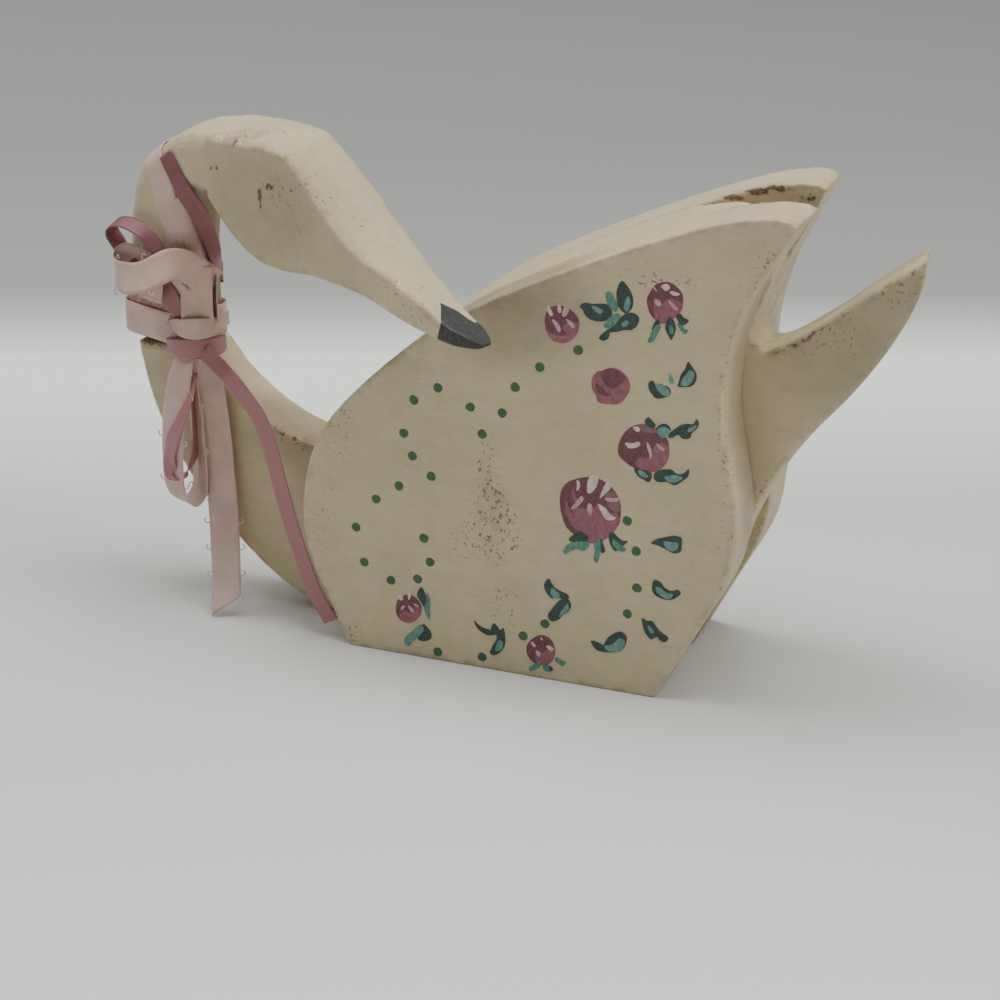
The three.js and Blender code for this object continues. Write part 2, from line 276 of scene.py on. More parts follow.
def sanded(spots):
    """How far down the neck's near upper edge is sanded at each place, in millimetres."""
    x, y, z = np.asarray(spots, float).T
    high = np.clip((z - np.interp(x, *NECK_TOP.T) + SANDED_DOWN) / SANDED_DOWN, 0, 1)
    close = np.clip((SANDED_ACROSS - SIDE - y) / SANDED_ACROSS, 0, 1)
    return np.interp(x, *SANDED_EDGE.T) * close**1.5 * high**1.5


PRESS_REACH = 3.4
PRESS_BLEND = 1.2


def press(spot, facing, lift):
    """The place on the neck's skin nearest to a spot, lifted, and the way the skin faces there."""
    if lift <= 0:
        return spot, facing
    skin, normal, _, gap = neck_skin.find_nearest(Vector(spot))
    hold = min(1, max(0, (PRESS_REACH - gap) / PRESS_BLEND))
    held = np.array(skin) + np.array(normal) * lift - np.array((0, 0, float(sanded(skin))))
    return spot + hold * (held - spot), unit(facing + hold * (np.array(normal) - facing))


def thread(stops, radius, step=0.3, sides=5):
    """A thin round thread along a few stops."""
    line = smooth_line(stops, step)
    tangent = unit(np.gradient(line, axis=0))
    side = unit(np.cross(tangent, (0.37, 0.61, 0.7)))
    up = np.cross(tangent, side)
    turns = np.linspace(0, 2 * math.pi, sides, endpoint=False)
    ring = np.cos(turns)[:, None, None] * side + np.sin(turns)[:, None, None] * up
    taper = np.ones(len(line))
    taper[[0, -1]] = 0.4
    points = (line + ring * (radius * taper)[:, None]).transpose(1, 0, 2).reshape(-1, 3)
    faces = []
    for i in range(len(line) - 1):
        for k in range(sides):
            a, b = i * sides + k, i * sides + (k + 1) % sides
            faces.append((a, b, b + sides, a + sides))
    faces += [tuple(range(sides))[::-1], tuple(range(len(points) - sides, len(points)))]
    return points, faces, np.tile((0.0, 0.0, 1.0), (len(points), 1))


PICOT_STEP = 0.25
PICOT_INSET = 0.2
PICOT_RADIUS = 0.13
PICOT_BOW = [(0.4, 0), (0.55, 0.7), (0.4, 1.2), (-0.1, 1.4), (-0.45, 1.15), (-0.5, 0.75)]


def picots(stops, pitch, start):
    """The small thread loops that stand out from both edges of the picot ribbon."""
    line = smooth_line([stop[:6] for stop in stops], PICOT_STEP)
    centre, facing = line[:, :3], line[:, 3:]
    tangent = unit(np.gradient(centre, axis=0))
    across = np.cross(unit(facing), tangent)
    loops = []
    for i in range(int(start / PICOT_STEP), len(centre) - 4, int(pitch / PICOT_STEP)):
        for edge in (-1, 1):
            out = across[i] * edge
            root = centre[i] + out * (PINK_WIDTH / 2 - PICOT_INSET)
            loops.append(thread([root + tangent[i] * a + out * b for a, b in PICOT_BOW], PICOT_RADIUS))
    return loops


def frays(stops, at, count, reach, seed):
    """Loose threads at a cut end of the pink ribbon: at is 0 for the first end and -1 for the last."""
    line = smooth_line([stop[:6] for stop in stops], LINE_STEP)
    centre, facing = line[:, :3], unit(line[:, 3:])
    tangent = unit(np.gradient(centre, axis=0))
    out = tangent[at] * (1 if at else -1)
    across = np.cross(facing[at], tangent[at])
    random = np.random.default_rng(seed)
    made = []
    for _ in range(count):
        root = centre[at] + across * random.uniform(-0.5, 0.5) * PINK_WIDTH
        bend = random.normal(0, 0.45, 3) + out
        middle = root + bend * reach * random.uniform(0.3, 0.6)
        end = middle + (bend + random.normal(0, 0.8, 3)) * reach * random.uniform(0.2, 0.6)
        made.append(thread([root - out * 0.5, root, middle, end], 0.05, 0.4, 4))
    return made


def add_piece(name, parts, material, turned=None):
    """One mesh object from parts: points in millimetres, faces and, for cloth, the weave places."""
    points = np.vstack([part[0] for part in parts])
    faces = []
    start = 0
    for part in parts:
        faces += [tuple(start + int(i) for i in face) for face in part[1]]
        start += len(part[0])
    made = bpy.data.meshes.new(name)
    made.from_pydata((points * MM).tolist(), [], faces)
    if turned is not None:
        made.transform(turned)
    if len(parts[0]) > 2:
        weave = np.vstack([part[2] for part in parts]).astype(np.float32)
        made.attributes.new("weave", "FLOAT_VECTOR", "POINT").data.foreach_set("vector", weave.ravel())
    made.polygons.foreach_set("use_smooth", [True] * len(made.polygons))
    made.materials.append(material)
    made.update()
    piece = bpy.data.objects.new(name, made)
    bpy.context.collection.objects.link(piece)
    return piece


def neck_corner(sign_x, sign_y):
    """Stops round one rounded corner of the neck, from the side that faces along X to the other."""
    reach = NECK_ROUNDING + PINK_LIFT
    middle = (sign_x * (NECK_HALF - NECK_ROUNDING), sign_y * (SIDE - NECK_ROUNDING))
    stops = []
    for turn in np.radians([0, 30, 60, 90]):
        x, y = sign_x * math.cos(turn), sign_y * math.sin(turn)
        stops.append((middle[0] + reach * x, middle[1] + reach * y, BAND_HEIGHT, x, y, 0))
    return stops


def band_half(side):
    """Half of the turn round the neck's foot, on the near side (-1) or the far side (1)."""
    front = neck_corner(1, side)
    back = neck_corner(-1, side)[::-1]
    return [neck_corner(1, -side)[0], *front, *back, neck_corner(-1, -side)[0]]


over_bend = [
    (3.4, 7, 6, 0, 1, 0, 0.3), (3.4, 7, 20, 0, 1, 0, 0.3), (3.4, 7, 32, 0, 1, 0, 0.3),
    (2.2, 6.6, 36, -0.1, 1, 0.1, 0.3, 0.8), (1, 5, 39.8, -0.5, 0.5, 0.7, 0.3, 0.8),
    (0.8, 2.4, 40.4, -0.6, 0.1, 0.8, 0.3, 0.85), (1.4, -2.4, 40.2, -0.6, -0.1, 0.8, 0.3, 0.9),
    (2.8, -5, 39.6, -0.4, -0.5, 0.75, 0.35), (4.6, -6.7, 37.8, -0.1, -1, 0.1, 0.35),
    (5.3, -6.7, 35.4, 0, -1, 0, 0.3), (6.5, -6.7, 31.5, 0, -1, 0, 0.3),
    (7.9, -6.7, 27.5, 0.3, -0.95, 0, 0.3), (8.8, -6.3, 24, 0.6, -0.8, 0, 0.3),
    (9.2, -5.2, 19, 0.85, -0.5, 0, 0.3), (9.2, -4, 12, 1, -0.2, 0, 0.3), (9.2, -4, 6, 1, 0, 0, 0.3),
]
beside = [
    (9.4, -6.4, 32.5, 0.6, -0.8, 0, 0.4, 0.4), (10.0, -4.9, 28.5, 0.9, -0.4, 0, 0.4, 0.7),
    (9.6, -3.1, 24.5, 1, 0, 0, 0.4, 0.8), (9.3, -1.9, 20, 1, 0, 0, 0.4, 0.75),
    (9.2, -0.9, 14, 1, 0, 0, 0.4, 0.75),
]
upright_fold = [
    (11.8, -4.7, 7.0, 0.75, -0.6, 0), (12.0, -4.9, 10.6, 0.75, -0.65, 0),
    (12.2, -4.9, 14.8, 0.75, -0.65, 0), (12.3, -4.6, 18.7, 0.75, -0.6, 0.1),
]
inner_drop = [
    (12.0, 0.0, 16.3, 0.5, 0.85, 0, -1, 0.8), (11.6, 0.2, 11.4, 0.5, 0.85, 0, -1, 0.9),
    (11.5, 0.2, 6.5, 0.5, 0.85, 0),
]
upper_loop = [
    (12.8, -0.8, 14.0, 0.9, -0.3, 0), (12.7, -3.0, 15.7, 0.85, -0.45, 0.1),
    (12.3, -5.4, 17.9, 0.75, -0.65, 0.2), (11.4, -7.7, 19.4, 0.6, -0.75, 0.35),
    (9.9, -9.5, 19.6, 0.45, -0.85, 0.4), (7.8, -10.8, 18.5, 0.3, -0.9, 0.4),
    (5.2, -11.8, 17.0, 0.2, -0.95, 0.4), (2.1, -12.3, 15.8, 0.1, -0.97, 0.35),
    (-1.3, -12.2, 15.3, -0.1, -0.97, 0.2), (-3.8, -11.8, 15.3, -0.5, -0.85, 0.1),
    (-5.4, -11.0, 15.8, -0.95, -0.3, 0), (-5.9, -10.0, 16.8, -0.85, 0.5, 0),
    (-5, -9.2, 17.8, -0.2, 1, 0), (-2.7, -8.9, 18.2, 0.15, 1, 0), (0.4, -8.7, 17.7, 0.1, 1, 0),
    (4.2, -8.3, 16.6, 0.1, 1, 0), (7.4, -7.6, 15.3, 0.1, 1, 0), (9.5, -6.5, 12.3, 0.2, 1, 0),
]
knot = [
    (6.2, -7.2, 6.3, -0.1, -1, 0, -1, 0.12), (8.2, -7.6, 6.3, 0.2, -0.95, 0, -1, 0.42),
    (10.5, -7.3, 6.0, 0.5, -0.8, 0, -1, 0.62), (12.7, -5.5, 5.9, 0.76, -0.65, 0, -1, 0.68),
    (13.4, -2.7, 5.7, 0.9, -0.4, 0, -1, 0.62), (12.8, 0.4, 5.8, 0.95, -0.2, 0, -1, 0.5),
    (11.7, 3.8, 6.1, 0.98, 0, 0, -1, 0.45),
]
throat = [
    (11.3, -4.7, 6.0, 0.76, -0.65, 0, -1, 0.6), (10.0, -4.6, 2.5, 0.76, -0.65, 0, -1, 0.4),
    (9.8, -4.9, 0.2, 0.76, -0.65, 0, -1, 0.4),
]
short_end = [
    (5.5, -10.5, 17.4, 0.3, -0.95, 0, -1, 0.8), (5.2, -10.7, 14.5, 0.3, -0.95, 0, -1, 0.85),
    (4.8, -11.0, 11.6, 0.3, -0.95, 0.1, -1, 0.85),
]
lower_loop = [
    (9.1, -5.4, 1.7, 0.35, -0.93, 0, -1, 0.35), (9.4, -6.6, -0.7, 0.3, -0.95, 0, -1, 0.6),
    (9.6, -8.2, -4.3, 0.12, -1, 0, -1, 0.9), (9.3, -9.1, -8.6, 0.05, -1, 0),
    (8.9, -9.9, -13.2, 0, -1, 0), (8.6, -10.2, -17.5, -0.03, -1, 0), (8.4, -10.2, -22.0, -0.05, -1, 0),
    (8.0, -9.8, -26.9, -0.05, -0.95, -0.3), (8.2, -8.8, -30.5, 0, -0.6, -0.8),
    (8.8, -6.9, -32.2, 0.1, 0.1, -1), (9.4, -4.9, -30.7, 0.2, 0.8, -0.6),
    (9.7, -4.1, -26.5, 0.3, 0.95, 0), (9.5, -4.0, -21.3, 0.3, 0.95, 0),
    (9.4, -4.2, -15.8, 0.3, 0.95, 0), (9.1, -4.4, -10.4, 0.3, 0.95, 0),
    (9.0, -4.5, -5.0, 0.3, 0.95, 0, -1, 0.7), (9.1, -4.5, 0, 0.3, 0.95, 0, -1, 0.35),
]
pink_tail = [
    (11.2, -3.0, 2.4, 0.76, -0.65, 0, -1, 0.4), (12.2, -4.0, -0.7, 0.66, -0.75, 0, -1, 0.8),
    (13.0, -3.7, -6.2, 0.5, -0.87, 0), (13.4, -3.2, -11.8, 0.45, -0.9, 0),
    (13.7, -2.8, -18.4, 0.44, -0.9, 0), (14.0, -2.7, -24.9, 0.44, -0.9, 0),
    (14.7, -2.9, -31.3, 0.44, -0.9, 0), (16.0, -3.9, -39.6, 0.44, -0.9, 0),
    (17.9, -5.7, -47.5, 0.44, -0.9, 0.05), (20.0, -7.9, -51.9, 0.44, -0.9, 0.1),
]
near_band = band_half(-1)
far_band = band_half(1)


def cloth_material(name, colour, thread_and_lit_colour, gloss, along_scale, across_scale, satin, painted_light_below=0.0):
    """Woven ribbon: cross threads and warp as fine relief, loose threads and painted glints.

    Low down the ribbon can be painted lighter as painted light, staying darker on the neck as in shade.
    """
    made, shader, start = new_material(name)
    weave = start.node("ShaderNodeAttribute", {"attribute_name": "weave"}, None, 1)
    along, across, loose = weave.parts()
    place = start.node("ShaderNodeTexCoord", None, None, 3)
    uneven = weave.grains(0.9, 2) * 9
    rib = (along * along_scale + uneven).wave() * 0.5 + 0.5
    warp = (across * across_scale + uneven).wave() * 0.5 + 0.5
    # Painted glints: lighter flecks along the ribbon stand in for the shine of its threads.
    glint = weave.stretched(1.6, 5, 1).grains(2.2, 2)
    cloudy = place.grains(160, 3)
    tone = (rib * warp) * 0.35 + glint.rise(0.35, 0.7) * satin + cloudy.rise(0.3, 0.7) * 0.4
    darker = tuple(0.72 * c for c in colour)
    lighter = tuple(min(1, 1.18 * c + 0.02) for c in colour)
    woven = (tone * 0.85).blend(darker, lighter)
    # Painted light: below 45 mm the ribbon turns lighter as if lit, while the band on the neck stays
    # darker as in shade.
    woven = (place.parts()[2].rise(0.075, 0.045) * painted_light_below).blend(woven, thread_and_lit_colour)
    shown = loose.rise(0.4, 0.6).blend(woven, thread_and_lit_colour)
    relief = {"Strength": 0.5, "Distance": 0.00006, "Height": rib + warp * 0.6}
    bump = start.node("ShaderNodeBump", None, relief)
    feed(shader, Base_Color=shown, Roughness=gloss + 0.12 * cloudy, Normal=bump)
    return made, shader


pink_cloth, pink_shader = cloth_material(
    "pink_picot_ribbon", PINK, PINK_THREAD, gloss=0.7, along_scale=21, across_scale=17, satin=0.25,
)
feed(pink_shader, Sheen_Weight=0.15)
pink_routes = [
    over_bend, beside, near_band, far_band, upright_fold, inner_drop, upper_loop, knot, throat,
    lower_loop, short_end, pink_tail,
]
pink_parts = []
for k, route in enumerate(pink_routes):
    slanted = PINK_TAIL_CUT if route is pink_tail else 0
    level = 0 if route is upper_loop else -100
    pink_parts.append(strip(route, PINK_WIDTH, PINK_THICKNESS, 0.07, k, slanted, level))
for route, pitch, start in ((upper_loop, 9.9, 7), (lower_loop, 9.9, 10), (pink_tail, 5.5, 38.5)):
    pink_parts += picots(route, pitch, start)
frayed = [
    (short_end, -1, 16, 0.7, 4), (upper_loop, 0, 14, 1.0, 1), (knot, 0, 16, 1.3, 2),
    (over_bend, 0, 8, 1.2, 3),
]
for route, at, count, reach, seed in frayed:
    pink_parts += frays(route, at, count, reach, seed)
pink_ribbon = add_piece("pink_ribbon_worn", pink_parts, pink_cloth, turn_only)
pink_path = [
    *over_bend, *far_band[1:-1], *near_band[1:-1][::-1], *upright_fold, *upper_loop[1:], *throat,
    *lower_loop[1:], *pink_tail,
]
pink_path = smooth_line([stop[:3] for stop in pink_path], 2.0)
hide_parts("pink_ribbon")
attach(pink_ribbon, "root")


# Mauve satin ribbon
# An eighth-inch satin ribbon wound with the pink one: down from the bend, behind the neck and round its
# foot, two small loops of the bow, and away over the breast as a tail.
MAUVE_WIDTH = 3.2
MAUVE_THICKNESS = 0.2
MAUVE_SEED = 20
MAUVE = (0.25, 0.082, 0.095)
# Colour of loose threads, and the lighter colour painted low on the tail as painted light.
MAUVE_THREAD_AND_LIT = (0.47, 0.22, 0.23)

from_bend = [
    (7.2, -6.9, 41.0, 0.2, -0.98, 0.1), (9.9, -7, 37.4, 0.3, -0.95, 0, -1, 1.05),
    (12.2, -6.8, 34.2, 0.5, -0.85, 0, -1, 1.1), (12.8, -4.5, 30.3, 0.76, -0.65, 0, -1, 1.1),
    (11.5, -1.2, 25.4, 0.85, -0.5, 0, -1, 1.1), (10.4, 1.5, 20.7, 0.95, -0.3, 0, -1, 1.05),
    (9.4, 3.4, 16.7, 1, 0.2, 0), (7.4, 6.9, 13.6, 0.4, 0.95, 0, 0.5), (3, 7.2, 12, 0, 1, 0, 0.5),
    (-4, 7.2, 10.4, 0, 1, 0, 0.5), (-7.8, 6, 9.6, -0.6, 0.8, 0, 0.5), (-9.2, 3.6, 9.3, -1, 0.1, 0, 0.5),
    (-9.2, -1, 9.2, -1, 0, 0, 0.5), (-8.8, -4.9, 9.2, -0.9, -0.4, 0, 0.5),
    (-6.6, -6.9, 9, -0.4, -0.9, 0, 0.5), (-2.6, -7, 8.8, 0, -1, 0, 0.5), (0.6, -7, 8.6, 0, -1, 0, 0.5),
    (4.5, -7, 8.3, 0, -1, 0, 0.5), (8.5, -7.2, 7.9, 0.2, -0.97, 0, 0.9),
    (10.4, -5.8, 7.6, 0.6, -0.8, 0, -1, 0.6), (10.7, -4.3, 9.4, 0.76, -0.65, 0, -1, 0.5),
    (10.8, -4.1, 13.4, 0.76, -0.65, 0, -1, 0.5), (10.2, -5, 16.8, 0.7, -0.7, 0, -1, 0.5),
    (8.6, -7, 18.8, 0.6, -0.8, 0, -1, 0.5), (7.2, -8.5, 19.3, 0.4, -0.9, 0, -1, 0.6),
]
mauve_upper = [
    (6.4, -9.1, 19.4, 0.3, -0.95, 0), (6.1, -9.1, 21.4, 0.3, -0.9, 0.1),
    (4.9, -9.5, 23.6, 0.1, -0.8, 0.5), (3.0, -9.8, 25.0, 0, -0.6, 0.75),
    (0.2, -10.0, 25.9, -0.05, -0.5, 0.85), (-2.8, -9.9, 26.0, -0.1, -0.45, 0.88),
    (-5.6, -9.8, 25.4, -0.4, -0.4, 0.8), (-7.4, -9.6, 24.2, -0.95, -0.2, 0.2),
    (-7.8, -9.0, 22.6, -0.9, 0.3, -0.3), (-6.8, -8.7, 21.2, -0.7, 0.6, -0.2),
    (-4.7, -8.8, 19.2, -0.3, 0.95, 0), (-1.1, -8.9, 17.0, 0, 1, 0), (2.6, -8.5, 15.6, 0, 1, 0),
    (5.4, -8.3, 14.2, 0, 1, 0),
]
slant = [
    (6.2, -8.8, 18.4, 0.2, -0.97, 0), (5.9, -8.1, 14.7, 0.2, -0.97, 0, -1, 1.3),
    (7.2, -7.9, 12.4, 0.25, -0.95, 0, -1, 1.4), (8.3, -7.2, 9.9, 0.35, -0.93, 0, -1, 1.15),
    (9.3, -6.5, 7.2, 0.4, -0.9, 0, -1, 0.7), (9.9, -5.9, 4.2, 0.5, -0.87, 0, -1, 0.5),
    (10.1, -5.2, 0.9, 0.6, -0.8, 0, -1, 0.4),
]
mauve_wrap = [
    (4.8, -7.1, 1.2, 0, -1, 0, -1, 0.9), (7.6, -7.6, 1.5, 0.2, -0.95, 0, -1, 1.1),
    (10.4, -7.1, 1.7, 0.5, -0.85, 0, -1, 1.3), (12.3, -5.2, 1.6, 0.76, -0.65, 0, -1, 1.35),
    (12.8, -2.4, 1.2, 0.9, -0.4, 0, -1, 1.35), (12.3, 0.5, 0.9, 1, -0.1, 0, -1, 1.2),
    (11.5, 2.9, 0.9, 1, 0.1, 0, -1, 1),
]
mauve_lower = [
    (10.9, -5.0, -3.8, 0.6, -0.8, 0, -1, 0.2), (12.6, -7.5, -6.1, 0.5, -0.85, 0, -1, 0.3),
    (13.0, -9.3, -8.5, 0.35, -0.93, 0, -1, 0.45), (11.8, -10.4, -12.2, 0.2, -0.97, 0, -1, 0.7),
    (9.6, -10.8, -16.7, 0.1, -1, 0), (8.3, -10.9, -20.7, 0, -1, 0), (8.2, -10.8, -23.6, 0.3, -0.9, 0.3),
    (8.6, -9.8, -25.5, 0.2, -0.3, 0.9), (8.6, -7.4, -25.8, -0.3, -0.1, 0.9),
    (9.2, -5.6, -23.3, -0.8, -0.3, 0.3), (9.4, -4.7, -18.9, -0.85, -0.4, 0),
    (9.5, -4.6, -13.5, -0.85, -0.4, 0), (9.5, -4.8, -8.0, -0.85, -0.4, 0),
    (9.4, -5.1, -3.2, -0.6, -0.7, 0, -1, 0.5), (8.6, -6.3, 0.4, 0.3, -0.95, 0, -1, 0.5),
]
away = [
    (12.5, -4.3, 1.1, 0.76, -0.65, 0), (14.1, -3.4, -0.7, 0.7, -0.7, 0.1),
    (16.2, -3.0, -2.2, 0.6, -0.8, 0.2), (22.0, -4.9, -3.5, 0.5, -0.86, 0.25),
    (24.8, -4.0, -6.9, 0.44, -0.88, 0.2), (26.9, -3.3, -9.7, 0.42, -0.88, 0.15),
    (28.7, -3.1, -13.0, 0.4, -0.9, 0.1), (30.2, -3.2, -16.2, 0.4, -0.9, 0.1),
    (31.6, -3.4, -20.0, 0.4, -0.9, 0.1), (33.1, -3.4, -24.4, 0.4, -0.9, 0.1),
    (34.7, -3.2, -29.4, 0.4, -0.9, 0.1), (36.4, -2.9, -34.7, 0.4, -0.9, 0.1),
    (38.3, -2.5, -40.0, 0.4, -0.9, 0.1), (40.3, -1.9, -45.2, 0.4, -0.9, 0.1),
    (42.9, -0.4, -50.9, 0.4, -0.9, 0.1),
]
mauve_cloth, mauve_shader = cloth_material(
    "mauve_satin_ribbon", MAUVE, MAUVE_THREAD_AND_LIT, gloss=0.36, along_scale=16, across_scale=5, satin=0.8,
    # Painted light: the tail is painted lighter low down.
    painted_light_below=0.8,
)
feed(mauve_shader, Sheen_Weight=0.1, Sheen_Roughness=0.3)
mauve_routes = [from_bend, mauve_upper, slant, mauve_wrap, mauve_lower, away]
mauve_parts = []
for k, route in enumerate(mauve_routes):
    mauve_parts.append(strip(route, MAUVE_WIDTH, MAUVE_THICKNESS, 0.04, MAUVE_SEED + k))
mauve_ribbon = add_piece("mauve_ribbon_wound", mauve_parts, mauve_cloth, turn_only)
mauve_path = [*from_bend, *mauve_upper, *slant[2:], *mauve_lower, *mauve_wrap[1:-1], *away[1:]]
mauve_path = smooth_line([stop[:3] for stop in mauve_path], 1.6)
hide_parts("mauve_ribbon")
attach(mauve_ribbon, "root")


# Body board
# The middle board, sawn from half-inch softwood in one piece with breast, neck stub, saddle and tail. It
# is sanded round its edges, painted cream, and rubbed through to the wood along the saddle and the tail.
BOARD = 2 * SIDE
OUTLINE_STEP = 0.7
VOXEL = 0.5
EDGE_ROUNDS = 14
EDGE_MOVE = 0.22
CREAM = (0.67, 0.57, 0.365)
CREAM_SHADE = (0.55, 0.455, 0.285)
BARE_WOOD = (0.25, 0.185, 0.115)
# Dark brown of old dirt for specks and worn wood, also used for painted shade.
DIRT_AND_SHADE = (0.07, 0.052, 0.034)


def outline(*stretches):
    """A closed outline from stretches of stops; a stretch of two stops is a straight edge."""
    parts = []
    for stops in stretches:
        stops = np.array(stops, float)
        line = smooth_line(stops, OUTLINE_STEP, 0, 2) if len(stops) > 2 else stops
        parts.append(line[:-1])
    return np.vstack(parts)


def sawn_board(name, shape, low, high, softness, rounds=24):
    """A board between two Y places, its edges sanded round. softness gives 0 to 1 for each point.

    Gives the mesh, its points in millimetres and, for each point, how near it is to an edge, 0 to 1."""
    count = len(shape)
    points = [(x * MM, y * MM, z * MM) for y in (low, high) for x, z in shape]
    sides = [(i, (i + 1) % count, (i + 1) % count + count, i + count) for i in range(count)]
    raw = bpy.data.meshes.new(name + "_blank")
    raw.from_pydata(points, [], [tuple(range(count))[::-1], tuple(range(count, 2 * count)), *sides])
    blank = bpy.data.objects.new(name + "_blank", raw)
    bpy.context.collection.objects.link(blank)
    remesh = blank.modifiers.new("voxels", "REMESH")
    remesh.mode = "VOXEL"
    remesh.voxel_size = VOXEL * MM
    shaped = bpy.data.meshes.new_from_object(blank.evaluated_get(bpy.context.evaluated_depsgraph_get()))
    bpy.data.objects.remove(blank)
    spots = np.empty(3 * len(shaped.vertices))
    shaped.vertices.foreach_get("co", spots)
    spots = spots.reshape(-1, 3) / MM
    edges = np.empty(2 * len(shaped.edges), int)
    shaped.edges.foreach_get("vertices", edges)
    ends = edges.reshape(-1, 2)
    amount = 0.5 * softness(spots)[:, None]
    for _ in range(rounds):
        spots = spots + amount * (neighbours(spots, ends) - spots)
    worn = spots.copy()
    for _ in range(EDGE_ROUNDS):
        worn = worn + 0.5 * (neighbours(worn, ends) - worn)
    edge = np.clip(np.linalg.norm(worn - spots, axis=1) / EDGE_MOVE, 0, 1)
    return shaped, spots, edge


def neighbours(spots, ends):
    """The mean place of each point's neighbours."""
    total = np.zeros_like(spots)
    for axis in range(3):
        total[:, axis] = np.bincount(ends[:, 0], spots[ends[:, 1], axis], len(spots))
        total[:, axis] += np.bincount(ends[:, 1], spots[ends[:, 0], axis], len(spots))
    shared = np.bincount(ends.ravel(), minlength=len(spots))
    return total / np.maximum(shared, 1)[:, None]


def ripple(spots, size, seed):
    """Smooth noise from -1 to 1 at each point, with features of about that size in millimetres."""
    move = Vector((seed * 3.1, seed * 5.7, seed * 9.3))
    return np.array([noise.noise(Vector(spot) / size + move) for spot in spots])


def near(spots, centre, reach):
    """1 at a place, falling smoothly to 0 at that reach, which may differ along each axis."""
    away = np.linalg.norm((spots - np.array(centre)) / np.array(reach), axis=1)
    return np.clip(1 - away, 0, 1) ** 2 * (3 - 2 * np.clip(1 - away, 0, 1))


def finish_board(name, shaped, spots, edge, wear, material, node, turned=None):
    """Puts the points back, notes where the edges and the wear are, and hides the plain board."""
    shaped.vertices.foreach_set("co", (spots * MM).ravel())
    shaped.name = name
    if turned is not None:
        shaped.transform(turned)
    for note, values in (("edge", edge), ("wear", np.clip(wear, 0, 1))):
        notes = shaped.attributes.new(note, "FLOAT", "POINT")
        notes.data.foreach_set("value", values.astype(np.float32))
    shaped.polygons.foreach_set("use_smooth", [True] * len(shaped.polygons))
    shaped.materials.clear()
    shaped.materials.append(material)
    shaped.update()
    piece = bpy.data.objects.new(name, shaped)
    bpy.context.collection.objects.link(piece)
    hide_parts(node)
    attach(piece, "root")


def inside(place, centre, reach):
    """1 at a centre, in millimetres, falling to 0 at the skin of an ellipsoid round it."""
    total = 0
    for part, middle, half in zip(place.parts(), centre, reach):
        total = ((part - middle) / half) ** 2 + total
    return total.rise(1, 0.15)


def cream_paint(name, grain_way, spots=(), stains=(), painted_shade=(), after=None):
    """Matt cream paint brushed on wood: faint grain, brush marks, specks, stains, painted shade, worn
    edges.

    spots are patches of small dark specks, stains are softer brown patches, and the third list holds wide
    patches of painted shade, darker where the figure lies in shade: each is a centre, a reach and an
    amount."""
    made, shader, start = new_material(name)
    place = start.node("ShaderNodeTexCoord", None, None, 3).stretched(1 / MM, 1 / MM, 1 / MM)
    edge = start.node("ShaderNodeAttribute", {"attribute_name": "edge"}, None, 2)
    wear = start.node("ShaderNodeAttribute", {"attribute_name": "wear"}, None, 2)
    clouds = place.grains(0.045, 3)
    blotches = place.grains(0.35, 4, 0.6)
    grain = place.stretched(*grain_way).grains(1.0, 4, 0.6)
    brushed = place.stretched(*(1.7 * g for g in grain_way)).grains(1.3, 3, 0.6)
    fine = place.grains(2.6, 3, 0.65)
    tone = clouds.rise(0.3, 0.7) * 0.45 + blotches.rise(0.3, 0.75) * 0.35 + grain.rise(0.35, 0.7) * 0.3
    colour = tone.blend(CREAM, CREAM_SHADE)
    # Painted shade: wide soft patches darken the cream towards dark brown where the figure lies in shade.
    shade_amount = 0
    for centre, reach, amount in painted_shade:
        shade_amount = inside(place, centre, reach) * (0.75 * amount + clouds * 0.5 * amount) + shade_amount
    if painted_shade:
        colour = shade_amount.least(1).blend(colour, DIRT_AND_SHADE)
    colour = (edge.rise(0.15, 0.8) * blotches.rise(0.42, 0.62) * 0.28).blend(colour, BARE_WOOD)
    brown = 0
    for centre, reach, amount in stains:
        brown = inside(place, centre, reach) * (blotches.rise(0.33, 0.62) * amount) + brown
    if stains:
        colour = brown.least(1).blend(colour, BARE_WOOD)
    specks = place.grains(1.5, 3, 0.6)
    dark = specks.rise(0.73, 0.78) * 0.5
    for centre, reach, amount in spots:
        more = specks.rise(0.66 - 0.09 * amount, 0.70 - 0.07 * amount)
        dark = inside(place, centre, reach) * more + dark
    colour = (dark.least(1) * 0.75).blend(colour, DIRT_AND_SHADE)
    rubbed = (wear + (fine - 0.5) * 0.9 + (blotches - 0.5) * 0.6).rise(0.46, 0.62)
    bare = fine.rise(0.35, 0.65).blend(DIRT_AND_SHADE, BARE_WOOD)
    colour = rubbed.blend(colour, bare)
    gloss = 0.5 + 0.2 * blotches + rubbed * 0.2
    relief = grain * 0.8 + brushed * 0.5 + fine * 0.35 - rubbed * 0.6
    if after:
        colour, gloss, relief = after(place, colour, gloss, relief, fine, blotches)
    bump = start.node("ShaderNodeBump", None, {"Strength": 0.55, "Distance": 0.00022, "Height": relief})
    feed(shader, Base_Color=colour, Roughness=gloss, Normal=bump)
    return made


